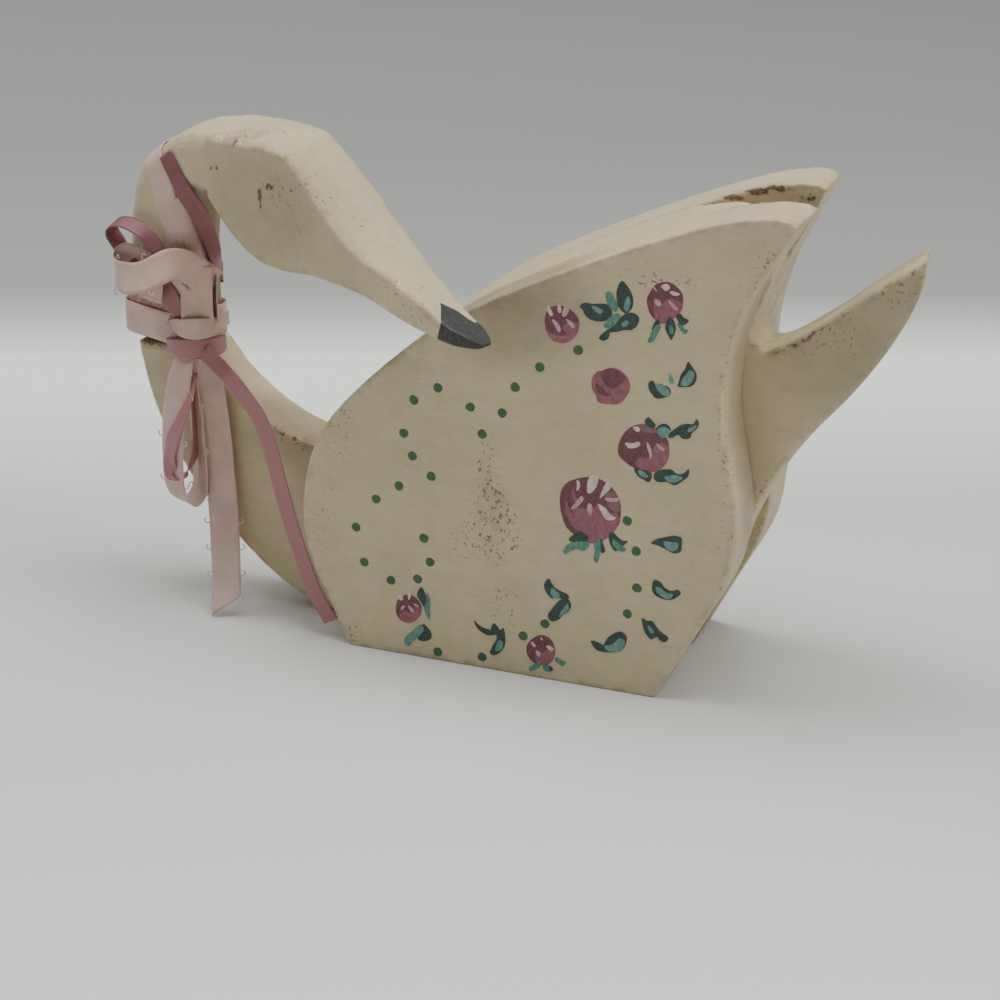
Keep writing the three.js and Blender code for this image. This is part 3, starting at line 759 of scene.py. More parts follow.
FOOT_HALF = 32.3
BREAST_FOOT = (-39, 0)
REAR_FOOT = (FOOT_HALF - 1, 0)
STUB_FRONT = (-84, 54)
STUB_BACK = (-69.6, 54)
NOTCH_FOOT = (47.3, 68)
TAIL_TIP = (77.2, 89.2)
WING_TOP = [
    (-39.1, 14.8), (-41.8, 26.6), (-38.4, 43), (-27.3, 57), (-9, 71.9), (16, 84.9), (38.5, 94.3),
    (48.5, 96.9), (54, 97.2), (56.8, 96.4),
]
wing_top = smooth_line(WING_TOP, OUTLINE_STEP, 0, 2)
flush = wing_top[(wing_top[:, 1] > 50) & (wing_top[:, 0] < 30)]
body_shape = outline(
    [BREAST_FOOT, (-47, 1.9), (-54.5, 6), (-62.6, 13), (-72, 23.5), (-79, 35.5), (-82.4, 45), STUB_FRONT],
    [STUB_FRONT, STUB_BACK],
    [STUB_BACK, (-65, 48.3), (-60, 43.8), (-55, 40.5), (-49.5, 38), (-43.5, 36.6), (-38.5, 39.5),
     (-35, 46), *flush],
    [flush[-1], (34.5, 91.9), (39, 92.7), (43, 91.6), (46.6, 87.5), (48.4, 82.5), (45.6, 74), (45, 70.5),
     NOTCH_FOOT],
    [NOTCH_FOOT, (51.1, 69.6), (58.5, 74.9), (65.7, 80.8), (71.5, 85.2), TAIL_TIP],
    [TAIL_TIP, (75.4, 80.8), (70.9, 71.5), (64.6, 62), (56.6, 52), (50, 41.5), (45.3, 31.5), (42, 21.5),
     (37.4, 12.2), REAR_FOOT],
    [REAR_FOOT, BREAST_FOOT],
)


def body_softness(spots):
    """Sanded edges, but crisp at the foot, the glue joint and where the board lies between the wings."""
    x, z = spots[:, 0], spots[:, 2]
    soft = np.full(len(spots), 0.28)
    soft[(z > 50) & (x < -60)] = 0.1
    soft[z < 2] = 0.08
    soft[(x > -36) & (x < 47) & (z > 40)] = 0.01
    return soft


shaped, spots, edge = sawn_board("body", body_shape, -SIDE, SIDE, body_softness)
swell = 0.10 * ripple(spots, 9, 1) * edge + 0.05 * ripple(spots, 2.2, 2) * edge
spots[:, 1] -= np.sign(spots[:, 1]) * np.abs(swell)
slanted = np.clip((spots[:, 0] - 60) / 17, 0, 1) ** 2 * (spots[:, 1] + SIDE) / BOARD
spots[:, 0] -= 2.6 * slanted
spots[:, 2] -= 1.1 * slanted
chip = near(spots, (77.5, -3, 88.6), (3.6, 9, 3.4))
spots[:, 0] -= 0.9 * chip * (0.7 + 0.8 * ripple(spots, 1.1, 6))
spots[:, 2] -= 0.5 * chip
worn_saddle = near(spots, (-49.5, -6.3, 39), (8, 1.6, 4.5)) * (0.75 + 0.9 * ripple(spots, 1.1, 3))
worn_tail = near(spots, (53, -6.4, 71.5), (17, 1.3, 13)) * (0.75 + 0.9 * ripple(spots, 1.0, 4))
chipped_tip = near(spots, (74.5, -6.3, 86), (5, 1.6, 4)) * (0.7 + 0.9 * ripple(spots, 1.0, 5))
wear = (0.75 * worn_saddle + 0.68 * worn_tail + 0.6 * chipped_tip) * (0.3 + edge)
spots[:, 2] -= 0.25 * np.clip(worn_saddle, 0, 1) * edge
body_paint = cream_paint(
    "cream_paint_body", (0.25, 1.5, 2.2),
    spots=[((-48, -6, 38), (9, 2.5, 4), 0.9), ((56, -6.3, 73.5), (16, 2, 8), 0.35),
           ((46.5, 0, 77), (3, 7, 7), 0.9), ((45, 0, 91.5), (6, 7, 3), 0.6),
           ((71, -6, 83), (5, 2, 5), 0.8), ((50, -6, 40), (6, 2, 6), 0.4),
           ((-79, -4, 54.2), (8, 6, 1.4), 1.8)],
    stains=[((43, 0, 92.5), (7, 7, 3), 0.2), ((49, -6, 70), (7, 2, 2.6), 0.6),
            ((-45, -6, 37), (4, 5, 3), 0.4), ((-73, 0, 53), (8, 8, 1.6), 0.4)],
    # Painted shade over the tail and the saddle.
    painted_shade=[((66, -8, 76), (26, 6, 24), 0.32), ((66, 4, 80), (24, 10, 16), 0.34),
          ((-50, 0, 36), (22, 9, 12), 0.4)],
)
finish_board("body_board_worn", shaped, spots, edge, wear, body_paint, "body_board")


# Wing boards
# Two boards of one outline, glued flat to the body's sides. Their outer edges are sanded and the inner
# ones crisp, and the upper rear ends stand free on both sides of a narrow slot.
WING_INNER = SIDE + 0.03
WING_OUTER = SIDE + BOARD
SLOT_CRACK = ((37, 93.2, 4), (41, 94.9, 4.5), (45.5, 96, 4), (51.5, 94.6, 2.6))
wing_shape = outline(
    [(-FOOT_HALF, 0), *wing_top],
    [wing_top[-1], (51.7, 88.4), (47.7, 81), (44.6, 70), (44, 58), (45.8, 48), (47.1, 38.5), (45.4, 26),
     (38.8, 12.6), (FOOT_HALF, 0)],
    [(FOOT_HALF, 0), (-FOOT_HALF, 0)],
)


def wing_softness(spots):
    """Hardly rounded along the top, well rounded at front and rear, and crisp on the body's side."""
    x, y, z = spots[:, 0], np.abs(spots[:, 1]), spots[:, 2]
    front = np.clip((-12 - x) / 18, 0, 1)
    rear = np.clip((x - 36) / 8, 0, 1) * np.clip((92 - z) / 6, 0, 1)
    soft = 0.07 + 0.25 * front + 0.18 * rear
    soft = np.where(z < 2.5, 0.1, soft)
    return np.where(y < 9, 0.01, soft)


def wing(side, name, node, paint, seed):
    """One wing, on the left (-1) or the right (1), with its worn places."""
    low, high = sorted((side * WING_INNER, side * WING_OUTER))
    shaped, spots, edge = sawn_board(name, wing_shape, low, high, wing_softness)
    uneven = 0.09 * ripple(spots, 7, seed) + 0.04 * ripple(spots, 1.8, seed + 1)
    spots[:, 1] -= side * np.abs(uneven * edge * (np.abs(spots[:, 1]) > 12))
    tip = near(spots, (57, side * WING_OUTER, 95.5), (5, 9, 5))
    spots[:, 0] -= 0.7 * tip * (0.7 + 0.5 * ripple(spots, 2.5, seed + 2))
    spots[:, 2] -= 0.4 * tip
    if side > 0:
        spots[:, 0] -= 1.8 * np.clip((spots[:, 0] - 46) / 10, 0, 1) ** 2
    rear = near(spots, (47.5, side * 6.6, 76), (5, 1.4, 12))
    slot = near(spots, (45, side * 6.5, 94.3), (12, 1.5, 2.2))
    corner = near(spots, (-31.5, side * WING_OUTER, 2), (4, 3, 4))
    wear = 0.7 * rear * (0.7 + 0.9 * ripple(spots, 1.3, seed + 3))
    wear += 0.2 * slot * (0.85 + 0.9 * ripple(spots, 1.1, seed + 4))
    wear += 0.55 * corner * (0.3 + 0.9 * ripple(spots, 1.2, seed + 5))
    if side > 0:
        for x, z, reach in SLOT_CRACK:
            wear += near(spots, (x, 6.4, z), (reach, 1.2, 1.3)) * (1 + 0.9 * ripple(spots, 0.9, x))
    finish_board(name, shaped, spots, edge, wear, paint, node)


left_paint = cream_paint(
    "cream_paint_left_wing", (0.28, 1.6, 2.4),
    spots=[((-2, -19, 42), (3.5, 3, 9), 0.9), ((-1, -19, 31), (7, 3, 10), 1.1),
           ((-7, -19, 27), (4, 3, 5), 0.9), ((2, -19, 30), (3, 3, 7), 1.0),
           ((1.5, -19, 15), (4, 3, 8), 0.5), ((-31, -19, 3), (2.5, 3, 3), 1.1),
           ((45, -18, 60), (3, 4, 22), 0.7), ((45.5, -18, 30), (3, 4, 18), 0.6),
           ((-33, -18, 48), (5, 3, 12), 0.6), ((-37, -17, 30), (4, 4, 18), 0.5),
           ((18, -13, 86), (36, 8, 9), 0.45), ((31, -19, 84), (9, 2, 2), 0.9),
           ((50, -18, 86), (5, 4, 9), 0.6), ((47, -7, 94.5), (9, 2, 3), 0.9)],
    stains=[((47, -6.6, 94.5), (9, 2, 3), 0.7), ((47.5, -7, 78), (3, 2, 13), 0.5),
            ((54, -14, 94), (4, 7, 3), 0.35), ((-18, -12, 63), (16, 9, 9), 0.35),
            ((-1, -19, 35), (4, 2, 12), 0.25)],
    # Painted shade on the wing's top and along its rear edge.
    painted_shade=[((0, -14, 76), (28, 10, 20), 0.42), ((47, -10, 60), (7, 8, 40), 0.32)],
)
right_paint = cream_paint(
    "cream_paint_right_wing", (0.28, 1.6, 2.4),
    spots=[((10, 19, 45), (12, 3, 16), 0.5), ((-31, 19, 3), (3, 4, 4), 0.8),
           ((51, 7, 93), (5, 3, 4.5), 0.6), ((45, 18, 50), (3, 4, 30), 0.6),
           ((-33, 18, 45), (5, 3, 14), 0.6), ((18, 13, 86), (36, 8, 9), 0.4)],
    stains=[((52, 7, 92), (4, 3, 5), 0.5), ((46, 12, 62), (4, 9, 30), 0.3)],
    # Painted shade in the slot between the wings.
    painted_shade=[((44, 7, 92.5), (14, 3, 6), 0.3)],
)
wing(-1, "left_wing_worn", "left_wing", left_paint, 11)
wing(1, "right_wing_worn", "right_wing", right_paint, 21)


# Neck and head board
# One sawn board glued upright on the stub and turned a little aside. It is rounded more than the others
# and thins to the beak, which is painted charcoal.
NECK_ALONE = 18
BEAK_REACH = 85.3
TAPER_START = 56
BEAK_SIDE = 3.1
BEAK_EDGE = 73.8
BEAK_EDGE_LIMIT = 80
CHARCOAL = (0.030, 0.031, 0.030)
SCUFFED = (0.085, 0.083, 0.08)
neck_shape = outline(
    NECK_TOP,
    [(BEAK_REACH, 17.6), (84, 16.8), (77.3, 17.3), (68.2, 19.6), (57.6, 22.8), (46, 23.6), (38, 23),
     (31, 24), (24.5, 27.6), (19.7, 32), (16.5, 34.8), (13.2, 34), (10.8, 30), (9.3, 23.4),
     (NECK_HALF, 12), (NECK_HALF, 0)],
    [(NECK_HALF, 0), (-NECK_HALF, 0)],
)


def neck_softness(spots):
    """Well rounded on the neck, less on the head, and crisp at the glue joint."""
    head = np.clip((spots[:, 0] - 6) / 12, 0, 1)
    soft = 0.85 - 0.6 * head - 0.12 * np.clip((spots[:, 0] - 60) / 20, 0, 1)
    return np.where(spots[:, 2] < 1.5, 0.1, soft)


shaped, spots, edge = sawn_board("neck", neck_shape, -SIDE, SIDE, neck_softness, 34)
thin = np.clip((spots[:, 0] - TAPER_START) / (BEAK_REACH - TAPER_START), 0, 1)
blunt = np.sqrt(np.clip(1 - (np.clip(spots[:, 0] - 78, 0, 7.3) / 7.5) ** 2, 0.02, 1))
spots[:, 1] *= (1 + thin * (BEAK_SIDE / SIDE - 1)) * blunt
for i in np.flatnonzero(spots[:, 0] < NECK_ALONE):
    skin, normal, _, _ = neck_skin.find_nearest(Vector(spots[i]))
    if (Vector(spots[i]) - skin).dot(normal) > 0:
        spots[i] = skin
spots[:, 2] -= sanded(spots)
spots[:, 2] += 0.1 * ripple(spots, 11, 31) * edge * np.clip((spots[:, 0] - 12) / 8, 0, 1)
crown = near(spots, (25.8, -5.9, 46.2), (6, 1.6, 1.5)) * (0.7 + 1.2 * ripple(spots, 0.8, 33))
smudge = near(spots, (33.1, -6.35, 37), (1.1, 2, 5.2)) * (1 + 1.2 * ripple(spots, 0.9, 35))
smudge += near(spots, (35.6, -6.35, 39.4), (3.6, 2, 1.4)) * (0.8 + 1.4 * ripple(spots, 0.8, 36))
wear = 0.85 * crown + 0.85 * smudge
for along, height in ((19.8, 40.2), (21.4, 40.5), (41.7, 39.7)):
    wear += 1.3 * near(spots, (along, -SIDE, height), (0.6, 1, 0.75))


def beak(place, colour, gloss, relief, fine, blotches):
    """Charcoal paint on the beak, with a hand-brushed edge that comes forward in the middle of the top.

    The inner side of the neck under the head, and the near face, are painted a little darker as shade."""
    x, y, height = [part - start for part, start in zip(place.parts(), NECK_FOOT)]
    along = x * math.cos(NECK_TURN) + y * math.sin(NECK_TURN)
    across = y * math.cos(NECK_TURN) - x * math.sin(NECK_TURN)
    line = BEAK_EDGE + 0.95 * (-0.3 - across).most(0) + 1.25 * (across + 0.1).most(0)
    line = (line + 3.5 * (across - 1.8).most(0)).least(BEAK_EDGE_LIMIT)
    line = line - 0.3 * (21 - height).most(0) - 1.6 * (17.6 - height).most(0)
    painted = (along - line + (blotches - 0.5) * 0.5).rise(-0.12, 0.12)
    # Painted shade: darker on the inner side of the neck under the head, and a little on the near face.
    under = along.rise(7.3, 8.8) * along.rise(19, 15) * height.rise(37, 33)
    colour = (across.rise(-5.4, -6.3) * 0.1 + under * 0.6).blend(colour, DIRT_AND_SHADE)
    scuff = fine.rise(0.42, 0.66) * blotches.rise(0.3, 0.6)
    paint = (scuff * 0.9).blend(CHARCOAL, SCUFFED)
    return painted.blend(colour, paint), gloss + painted * (0.55 - gloss), relief + painted * 0.4


head_paint = cream_paint(
    "cream_paint_head", (0.3, 1.4, 2.0),
    spots=[((-43.5, -19, 93), (4, 6, 5), 0.7), ((-54, -14, 102), (14, 3, 3), 0.8),
           ((-30, -22, 92), (20, 3, 16), 0.3), ((-12, -29, 78), (10, 4, 8), 0.4)],
    stains=[((-51, -14, 101), (10, 3, 2.5), 0.4), ((-80, -6, 55), (12, 8, 1.4), 0.9)],
    # Painted shade on the near side of the head.
    painted_shade=[((-48.5, -19, 90), (24, 9, 14), 0.24)],
    after=beak,
)
finish_board("neck_and_head_worn", shaped, spots, edge, wear, head_paint, "neck_and_head", turn_only)


# Painted flowers
# Roses, leaves and dots in thick craft paint on the left wing, one brush stroke over another: dark disc,
# lighter petals and pale dabs for a rose, and a teal stroke on a bottle green one for a leaf. The right
# wing has two of the roses with their leaves, and a few dots.
PAINTS = {
    "maroon": ((0.125, 0.032, 0.042), (0.18, 0.055, 0.068)),
    "rose": ((0.25, 0.075, 0.10), (0.33, 0.12, 0.145)),
    "dusk": ((0.24, 0.115, 0.11), (0.20, 0.09, 0.09)),
    "blush": ((0.62, 0.40, 0.39), (0.48, 0.26, 0.27)),
    "white": ((0.74, 0.64, 0.56), (0.60, 0.46, 0.42)),
    "bottle": ((0.012, 0.035, 0.027), (0.03, 0.065, 0.05)),
    "teal": ((0.10, 0.24, 0.205), (0.17, 0.33, 0.29)),
    "leaf": ((0.055, 0.19, 0.125), (0.12, 0.30, 0.23)),
    "dot": ((0.030, 0.095, 0.042), (0.05, 0.13, 0.062)),
}
DOT_RADIUS = 0.95
DOT_STOPS = 12
STROKE_STEP = 0.16
STROKE_LIFT = 0.035
STROKE_SUNK = 0.02
LAYER_STEP = 0.03
RIGHT_LOW = (22, 43)
RIGHT_HIGH = (40, 69)
RIGHT_SHIFT = (10, 6)
RIGHT_DOTS = 12
RIGHT_DOT_DROP = 4
strokes = [
    ("maroon", 10.3, 76.2, 12.6, 76.8, 14.6, 76.1, 16, 74.3, 15.6, 72, 14.3, 70.3, 12.5, 69.6, 10.6,
     70.2, 9.6, 71.8, 9.3, 74.1),
    ("rose", 9.8, 71.6, 10.9, 71.2, 12.3, 71, 13.5, 71.5, 12.9, 72.8, 14.2, 73.9, 16, 73.8, 15.6, 71.8,
     14.3, 70.3, 12.5, 69.6, 10.8, 70),
    ("blush", 10.9, 74.1, 11.9, 73.4, 12.5, 72.2, 12.1, 71.7, 11.3, 72.8, 10.7, 73.9),
    ("blush", 13.4, 74.4, 14.4, 74.1, 15.2, 73.1, 14.8, 72.8, 13.8, 73.7),
    ("white", 9.9, 76.7, 10.9, 74.9, 10.5, 74.6, 9.7, 75.9),
    ("white", 11.9, 77.1, 12.5, 76.4, 12.3, 75.4, 11.9, 75.6),
    ("blush", 13.2, 76.7, 14, 76.4, 13.4, 75, 12.7, 74.9, 12.8, 75.9),
    ("maroon", 30.7, 83.1, 32.8, 83.7, 34.3, 83.1, 35.5, 81.8, 35.7, 79.9, 35.2, 78.2, 33.7, 76.7,
     31.9, 75.7, 30.5, 76.3, 29.4, 77.7, 28.9, 79.9, 29.6, 81.7),
    ("rose", 30.4, 80.1, 31.4, 79.4, 32.9, 80.5, 34.4, 80.5, 35.7, 79.7, 35.2, 78.2, 33.7, 76.7, 31.9,
     75.7, 30.7, 76.3, 30.3, 78.1),
    ("white", 32, 83.2, 32.8, 83.3, 33.2, 82.6, 32.5, 82, 31.9, 82.3, 31.5, 82.8),
    ("white", 33.6, 82.1, 34.3, 82, 35.1, 81.7, 34.4, 81.3, 33.6, 81.4, 33.2, 81.9),
    ("blush", 30.4, 80.2, 31.4, 80, 31.6, 79.2, 31, 79, 30.4, 79.5),
    ("blush", 32.9, 80.3, 34, 79.7, 34.8, 78.7, 34.6, 78.5, 33.5, 79.3),
    ("blush", 30, 82.8, 30.6, 82.1, 30.8, 81.6, 30.2, 82.1),
    ("rose", 20.8, 65.4, 22.5, 66.1, 24.3, 65.7, 25.6, 64.5, 26.1, 62.8, 25.5, 61, 24.2, 59.4, 21.9,
     58.9, 19.9, 59.1, 19.5, 60.2, 18.7, 61.6, 18.7, 63.6, 19.6, 64.9),
    ("maroon", 21, 65.5, 22.7, 65.9, 24.5, 65.3, 25.1, 64.4, 24.3, 63.2, 23, 62.2, 21.6, 62.4, 20.6,
     63.5, 20.4, 64.6),
    ("maroon", 19.3, 62.5, 20.2, 62.4, 21.4, 61.4, 22.6, 60.8, 21.1, 60.4, 19.9, 61),
    ("maroon", 26.4, 55, 28.2, 55.8, 30.5, 55.6, 32.4, 54.7, 33.6, 53.3, 33.9, 51.1, 33.4, 48.7, 31.7,
     47, 29.5, 46.5, 27.2, 47, 25.2, 48.1, 24, 49.5, 24.3, 51.9, 25.1, 53.6),
    ("rose", 27.6, 47.8, 28.3, 49.3, 29.7, 49.3, 30.6, 51.2, 32.1, 52.6, 33.7, 52.3, 33.9, 50.5, 33.4,
     48.7, 31.7, 47, 29.5, 46.5),
    ("dusk", 27.4, 55.3, 29.3, 56, 31.1, 55.5, 31.7, 54.8, 30.1, 54.3, 28.6, 54.5),
    ("white", 25.3, 51.7, 26.9, 51.9, 28, 52.3, 28.3, 51.7, 27.3, 51, 26.1, 50.8),
    ("blush", 29.6, 52.5, 30.2, 51.8, 30.6, 50.1, 30.4, 49.2, 30, 50.4, 29.6, 51.5),
    ("blush", 31.3, 52.5, 32.3, 52.1, 33.1, 51.4, 32.7, 51.2, 31.7, 51.8),
    ("white", 26.8, 55.1, 27.8, 55.2, 28.2, 54.7, 27.8, 54.2, 27.2, 54.5),
    ("maroon", 15.6, 43, 18.6, 43.9, 21.2, 43.5, 23.2, 42.1, 24.4, 40.3, 24.8, 38.1, 24.5, 35.2, 23.1,
     33, 21.2, 31.2, 18.8, 30.4, 16.4, 31.3, 14.1, 32.8, 13.1, 35.1, 12.6, 37.9, 13, 40.6, 14.2, 42.2),
    ("rose", 15.1, 37.7, 16.7, 37.3, 18.7, 37.6, 20.3, 38.2, 21.9, 36.9, 23.8, 37.4, 24.7, 36.1, 23.5,
     33.4, 21.2, 31.4, 18.8, 30.6, 17.6, 31.9, 16.3, 33.5, 15.5, 35.5),
    ("rose", 13.9, 38.5, 14.7, 36.6, 15.9, 34.7, 17.1, 32.8, 16.1, 32.7, 14.5, 34.5, 13.7, 36.4),
    ("dusk", 21.6, 40.7, 23.4, 41.6, 24.4, 40.1, 24.8, 38.5, 24, 37.6, 22.6, 38.2, 22, 39.3),
    ("dusk", 15.2, 41.2, 15.8, 39.6, 16.3, 38.3, 15.7, 38.2, 15, 39.7),
    ("white", 18.8, 44.3, 19.6, 44.6, 20.2, 43.7, 19.8, 42, 18.8, 40.7, 18.2, 40.6, 18, 41.8, 18.2,
     43.2),
    ("white", 22, 43.4, 22.7, 43.1, 22.6, 42.1, 21.4, 40.7, 20.6, 39.9, 21, 41.4),
    ("white", 16, 42.9, 16.6, 42.4, 16.6, 41.6, 16, 40.7, 16, 41.7),
    ("blush", 17, 39.8, 17.4, 39.3, 16.7, 38.1, 15.3, 36.9, 14.9, 36.8, 15.7, 38.2),
    ("blush", 18.5, 38.6, 19.1, 38.1, 19.1, 37, 18.7, 36, 18.3, 36.7, 18.1, 37.7),
    ("white", 20.2, 38.7, 21.7, 38.1, 22.9, 36.8, 23.9, 36.4, 23.1, 35.8, 21.9, 35.8, 21.1, 36.9),
    ("blush", 21.6, 40.1, 23, 40.3, 24.4, 40.5, 24.2, 39.9, 22.8, 39.5, 21.8, 39.7),
    ("maroon", -20.1, 12.8, -18.8, 13.4, -17.3, 12.8, -16.3, 11.5, -16.3, 9.7, -17.4, 8, -18.9, 7.1,
     -20.4, 7.3, -21.5, 8.4, -21.7, 10.3, -21.2, 11.9),
    ("rose", -20.2, 9.5, -18.7, 9.5, -17.4, 10.9, -16.3, 10.8, -16.3, 9.5, -17.4, 8, -18.9, 7.1, -20.2,
     7.3, -20.9, 8.5),
    ("white", -21.2, 12.6, -20.6, 13.2, -20.1, 12.1, -20.8, 11.8),
    ("blush", -20.4, 10.6, -19.7, 10.7, -20.2, 9.9, -20.6, 9.6),
    ("white", -19, 13.6, -18.4, 13.5, -18.9, 12.1),
    ("blush", -19.1, 11, -18.2, 10.5, -17.8, 9.7, -18.5, 9.8),
    ("blush", -18, 11.6, -16.7, 11.2, -17.2, 10.9),
    ("maroon", 7.2, 8.2, 8.8, 9.3, 10.7, 9, 11.7, 7.7, 11.9, 5.5, 11.1, 3.9, 9.3, 2.9, 7.4, 3.2, 6.3,
     4.5, 6.1, 6.5),
    ("rose", 7.8, 4.6, 9.5, 5.8, 10.7, 6.8, 11.9, 6.4, 11.7, 4.9, 10.9, 3.6, 9.3, 2.9, 8, 3.3),
    ("white", 10.1, 7.2, 11.1, 7.3, 11.7, 6.8, 11.1, 6.3),
    ("blush", 7.2, 7.7, 8, 6.8, 7.6, 6.5, 6.9, 7.3),
    ("blush", 8, 5.9, 9, 5.5, 8.8, 4.6, 8.2, 4.9),
    ("blush", 9, 9.1, 9.4, 8.3, 9, 8.3),
    ("bottle", 16.1, 77.2, 16.9, 77.9, 18.4, 77.9, 21.5, 78.1, 22.3, 77, 22.1, 75.8, 20.8, 74.9, 18.5,
     74.8, 17.3, 75.5, 16.7, 76.5),
    ("teal", 18.4, 77.5, 19.6, 77.4, 20.6, 76.8, 20, 76.2, 19, 76.6),
    ("leaf", 21.1, 80.3, 22, 80.6, 22.6, 79.7, 23.4, 78.1, 23.1, 76.9, 22.1, 77.4, 21.3, 78.6),
    ("bottle", 24.1, 82.9, 25.1, 82.1, 26.1, 80.5, 26.3, 78.6, 25.7, 77.4, 25, 76.9, 23.8, 77.6, 23.2,
     79.2, 23.2, 81.3),
    ("teal", 25.3, 80.2, 25.7, 79.7, 25.7, 78.4, 25.2, 77.2, 24.6, 77.8, 24.8, 79.2),
    ("leaf", 20.8, 74.1, 21.4, 75.2, 22.5, 76.3, 23.7, 76.6, 23.9, 75.5, 23.1, 74.6, 22, 73.7, 21,
     73.6),
    ("bottle", 23.9, 75.9, 25, 76.8, 26.5, 77.1, 27.5, 76.3, 27.1, 74.7, 26, 73.8, 24.9, 73.7, 23.3,
     73.1, 22, 72.8, 21.8, 71.8, 20.7, 71.1, 19.9, 71.5, 20.7, 72.6, 21.8, 73.5, 22.9, 74.4),
    ("teal", 24.1, 74.7, 25.2, 75.6, 25.6, 75.3, 24.7, 74.2),
    ("bottle", 30, 74.3, 30.5, 75.9, 31.1, 76.5, 31.5, 75.8, 30.8, 74.8),
    ("leaf", 30.9, 75.4, 31.7, 75.3, 31.2, 73.9, 30.1, 72, 29.3, 71.9, 29.7, 73.3),
    ("bottle", 32.8, 76.5, 33.3, 77.2, 34.1, 76.5, 34.5, 75.1, 34.2, 73.9, 33.7, 72.9, 33.1, 73.7,
     32.5, 75),
    ("leaf", 33.4, 75.7, 34, 75.2, 34, 74, 33.4, 74.2),
    ("bottle", 34.5, 77.5, 35.2, 78, 36, 77.3, 36.9, 77, 36.4, 76.2, 35.6, 75.9, 34.9, 76.6),
    ("leaf", 34.7, 76.2, 35.6, 75.9, 36, 75.2, 36.8, 75.1, 36.3, 74.3, 35.5, 74.8),
    ("bottle", 29.7, 64.3, 30.4, 64.6, 31, 63.9, 32.4, 64, 33.3, 63.8, 33.9, 63.1, 33.6, 62.1, 32.3,
     61.5, 31.1, 61.3, 30.3, 62, 29.7, 62.9),
    ("teal", 31, 63.9, 32, 64.2, 33, 63.7, 33.7, 62.9, 33.4, 62, 32, 62.4),
    ("teal", 33.6, 66.5, 34.2, 65.6, 34.5, 64.7, 34.1, 64.5, 33.5, 65, 33.5, 65.9),
    ("bottle", 37, 69.1, 37.8, 68.2, 38.6, 67, 38.6, 65.6, 37.9, 64.6, 36.6, 64.2, 35.2, 64.2, 35.4,
     65.2, 35.7, 66.4, 36.5, 67.7),
    ("teal", 37.4, 67.6, 38.2, 67.1, 38, 65.7, 37.1, 64.5, 35.8, 64.5, 36.1, 65.7, 36.9, 66.9),
    ("bottle", 29.7, 57.4, 30.7, 56.6, 31.2, 55.9, 30.5, 55.4, 29.3, 56, 29.1, 56.6),
    ("bottle", 31.3, 55.3, 32, 56.2, 33.2, 56.5, 34.1, 55.7, 33.6, 54.6, 32.8, 54.1),
    ("teal", 31.5, 55.1, 32.2, 55.8, 33.2, 55.9, 34, 55.3, 33.4, 54.2, 32.5, 53.7, 31.7, 54.4),
    ("bottle", 34, 54.9, 34.9, 55.8, 36.2, 56.8, 37.4, 57.1, 38.3, 57.2, 39, 58.3, 39.4, 57.4, 38.9,
     56.2, 38.2, 55.5, 37.8, 54.4, 36.5, 54.1, 35.5, 54.7, 34.4, 54, 33.6, 54),
    ("teal", 37.4, 56.1, 38.5, 56.9, 39.1, 57.2, 38.3, 55.9, 37.4, 55.6),
    ("bottle", 27.2, 47, 28.6, 46.8, 29.9, 46.8, 30.7, 46.1, 30.2, 44.6, 29.2, 44.9, 28, 45.5),
    ("teal", 28, 46.7, 29.2, 46.5, 30, 45.6, 29, 45.4, 28.2, 45.9),
    ("bottle", 31.3, 46.6, 32.6, 47.4, 34.6, 47.6, 35.5, 47, 36.7, 47.2, 37.8, 48.3, 37.7, 46.9, 36.7,
     45.8, 35.2, 44.7, 33.7, 45.1, 31.9, 44.9, 31.1, 45.5),
    ("teal", 33.1, 46, 34.4, 46.6, 36.1, 46.7, 36.7, 46.4, 35.2, 45.3, 33.9, 45.3),
    ("bottle", 14.5, 30.4, 15.7, 31.8, 17.1, 32.4, 18.4, 31.6, 18, 30.5, 16.2, 30),
    ("leaf", 13.4, 27.7, 14.2, 29.3, 15.6, 30.1, 17.4, 30.6, 18.6, 30.4, 18.4, 29.3, 17.2, 28.5, 16.2,
     28.8, 15, 28.1, 14, 27.4),
    ("leaf", 19.6, 30.3, 20.8, 31.8, 21.2, 30.4, 20.8, 28.3, 20.2, 26.5, 19.6, 27.2, 19.8, 28.9),
    ("bottle", 20.8, 31.8, 21.6, 30.2, 21.8, 29.2, 21.2, 28.7, 21, 30.1),
    ("bottle", 22.5, 32.7, 23.1, 33.4, 24.3, 32.5, 25.3, 31.9, 26.3, 32, 25.6, 31.1, 24.8, 30.1, 23.8,
     29.6, 23, 30.5, 22.6, 31.6),
    ("leaf", 23.4, 32, 24.6, 31.3, 26, 30.1, 25.2, 29.6, 24.2, 30, 23.4, 30.7),
    ("bottle", 30.9, 32.3, 32, 33.3, 33.8, 34, 35.3, 34.5, 36.7, 34.3, 36.9, 33.1, 36.6, 31.4, 35.2,
     31, 33.7, 31.6, 32.1, 32.1),
    ("teal", 33.4, 33.1, 35, 33.2, 36.2, 33.2, 36, 31.9, 34.8, 31.3, 33.6, 32.2),
    ("bottle", 31.7, 24.8, 32.9, 24.6, 33.9, 23.5, 35.1, 23.1, 36.4, 23.6, 37, 23, 36.3, 22.1, 35.1,
     21.3, 33.7, 21.2, 32.5, 21.5, 31.5, 22.3, 31.3, 23.5),
    ("teal", 32.1, 23.5, 33.1, 23.4, 34.3, 22.6, 35.5, 22.6, 34.9, 21.4, 33.5, 21.6, 32.3, 22.5),
    ("bottle", 29.5, 16.5, 30.5, 16.1, 31.5, 16.2, 32.1, 15.5, 33.1, 14.4, 34.8, 13.2, 34.2, 12.3,
     33.2, 12.5, 32.6, 13.1, 31.4, 12.4, 30.4, 13.3, 29.7, 14.9),
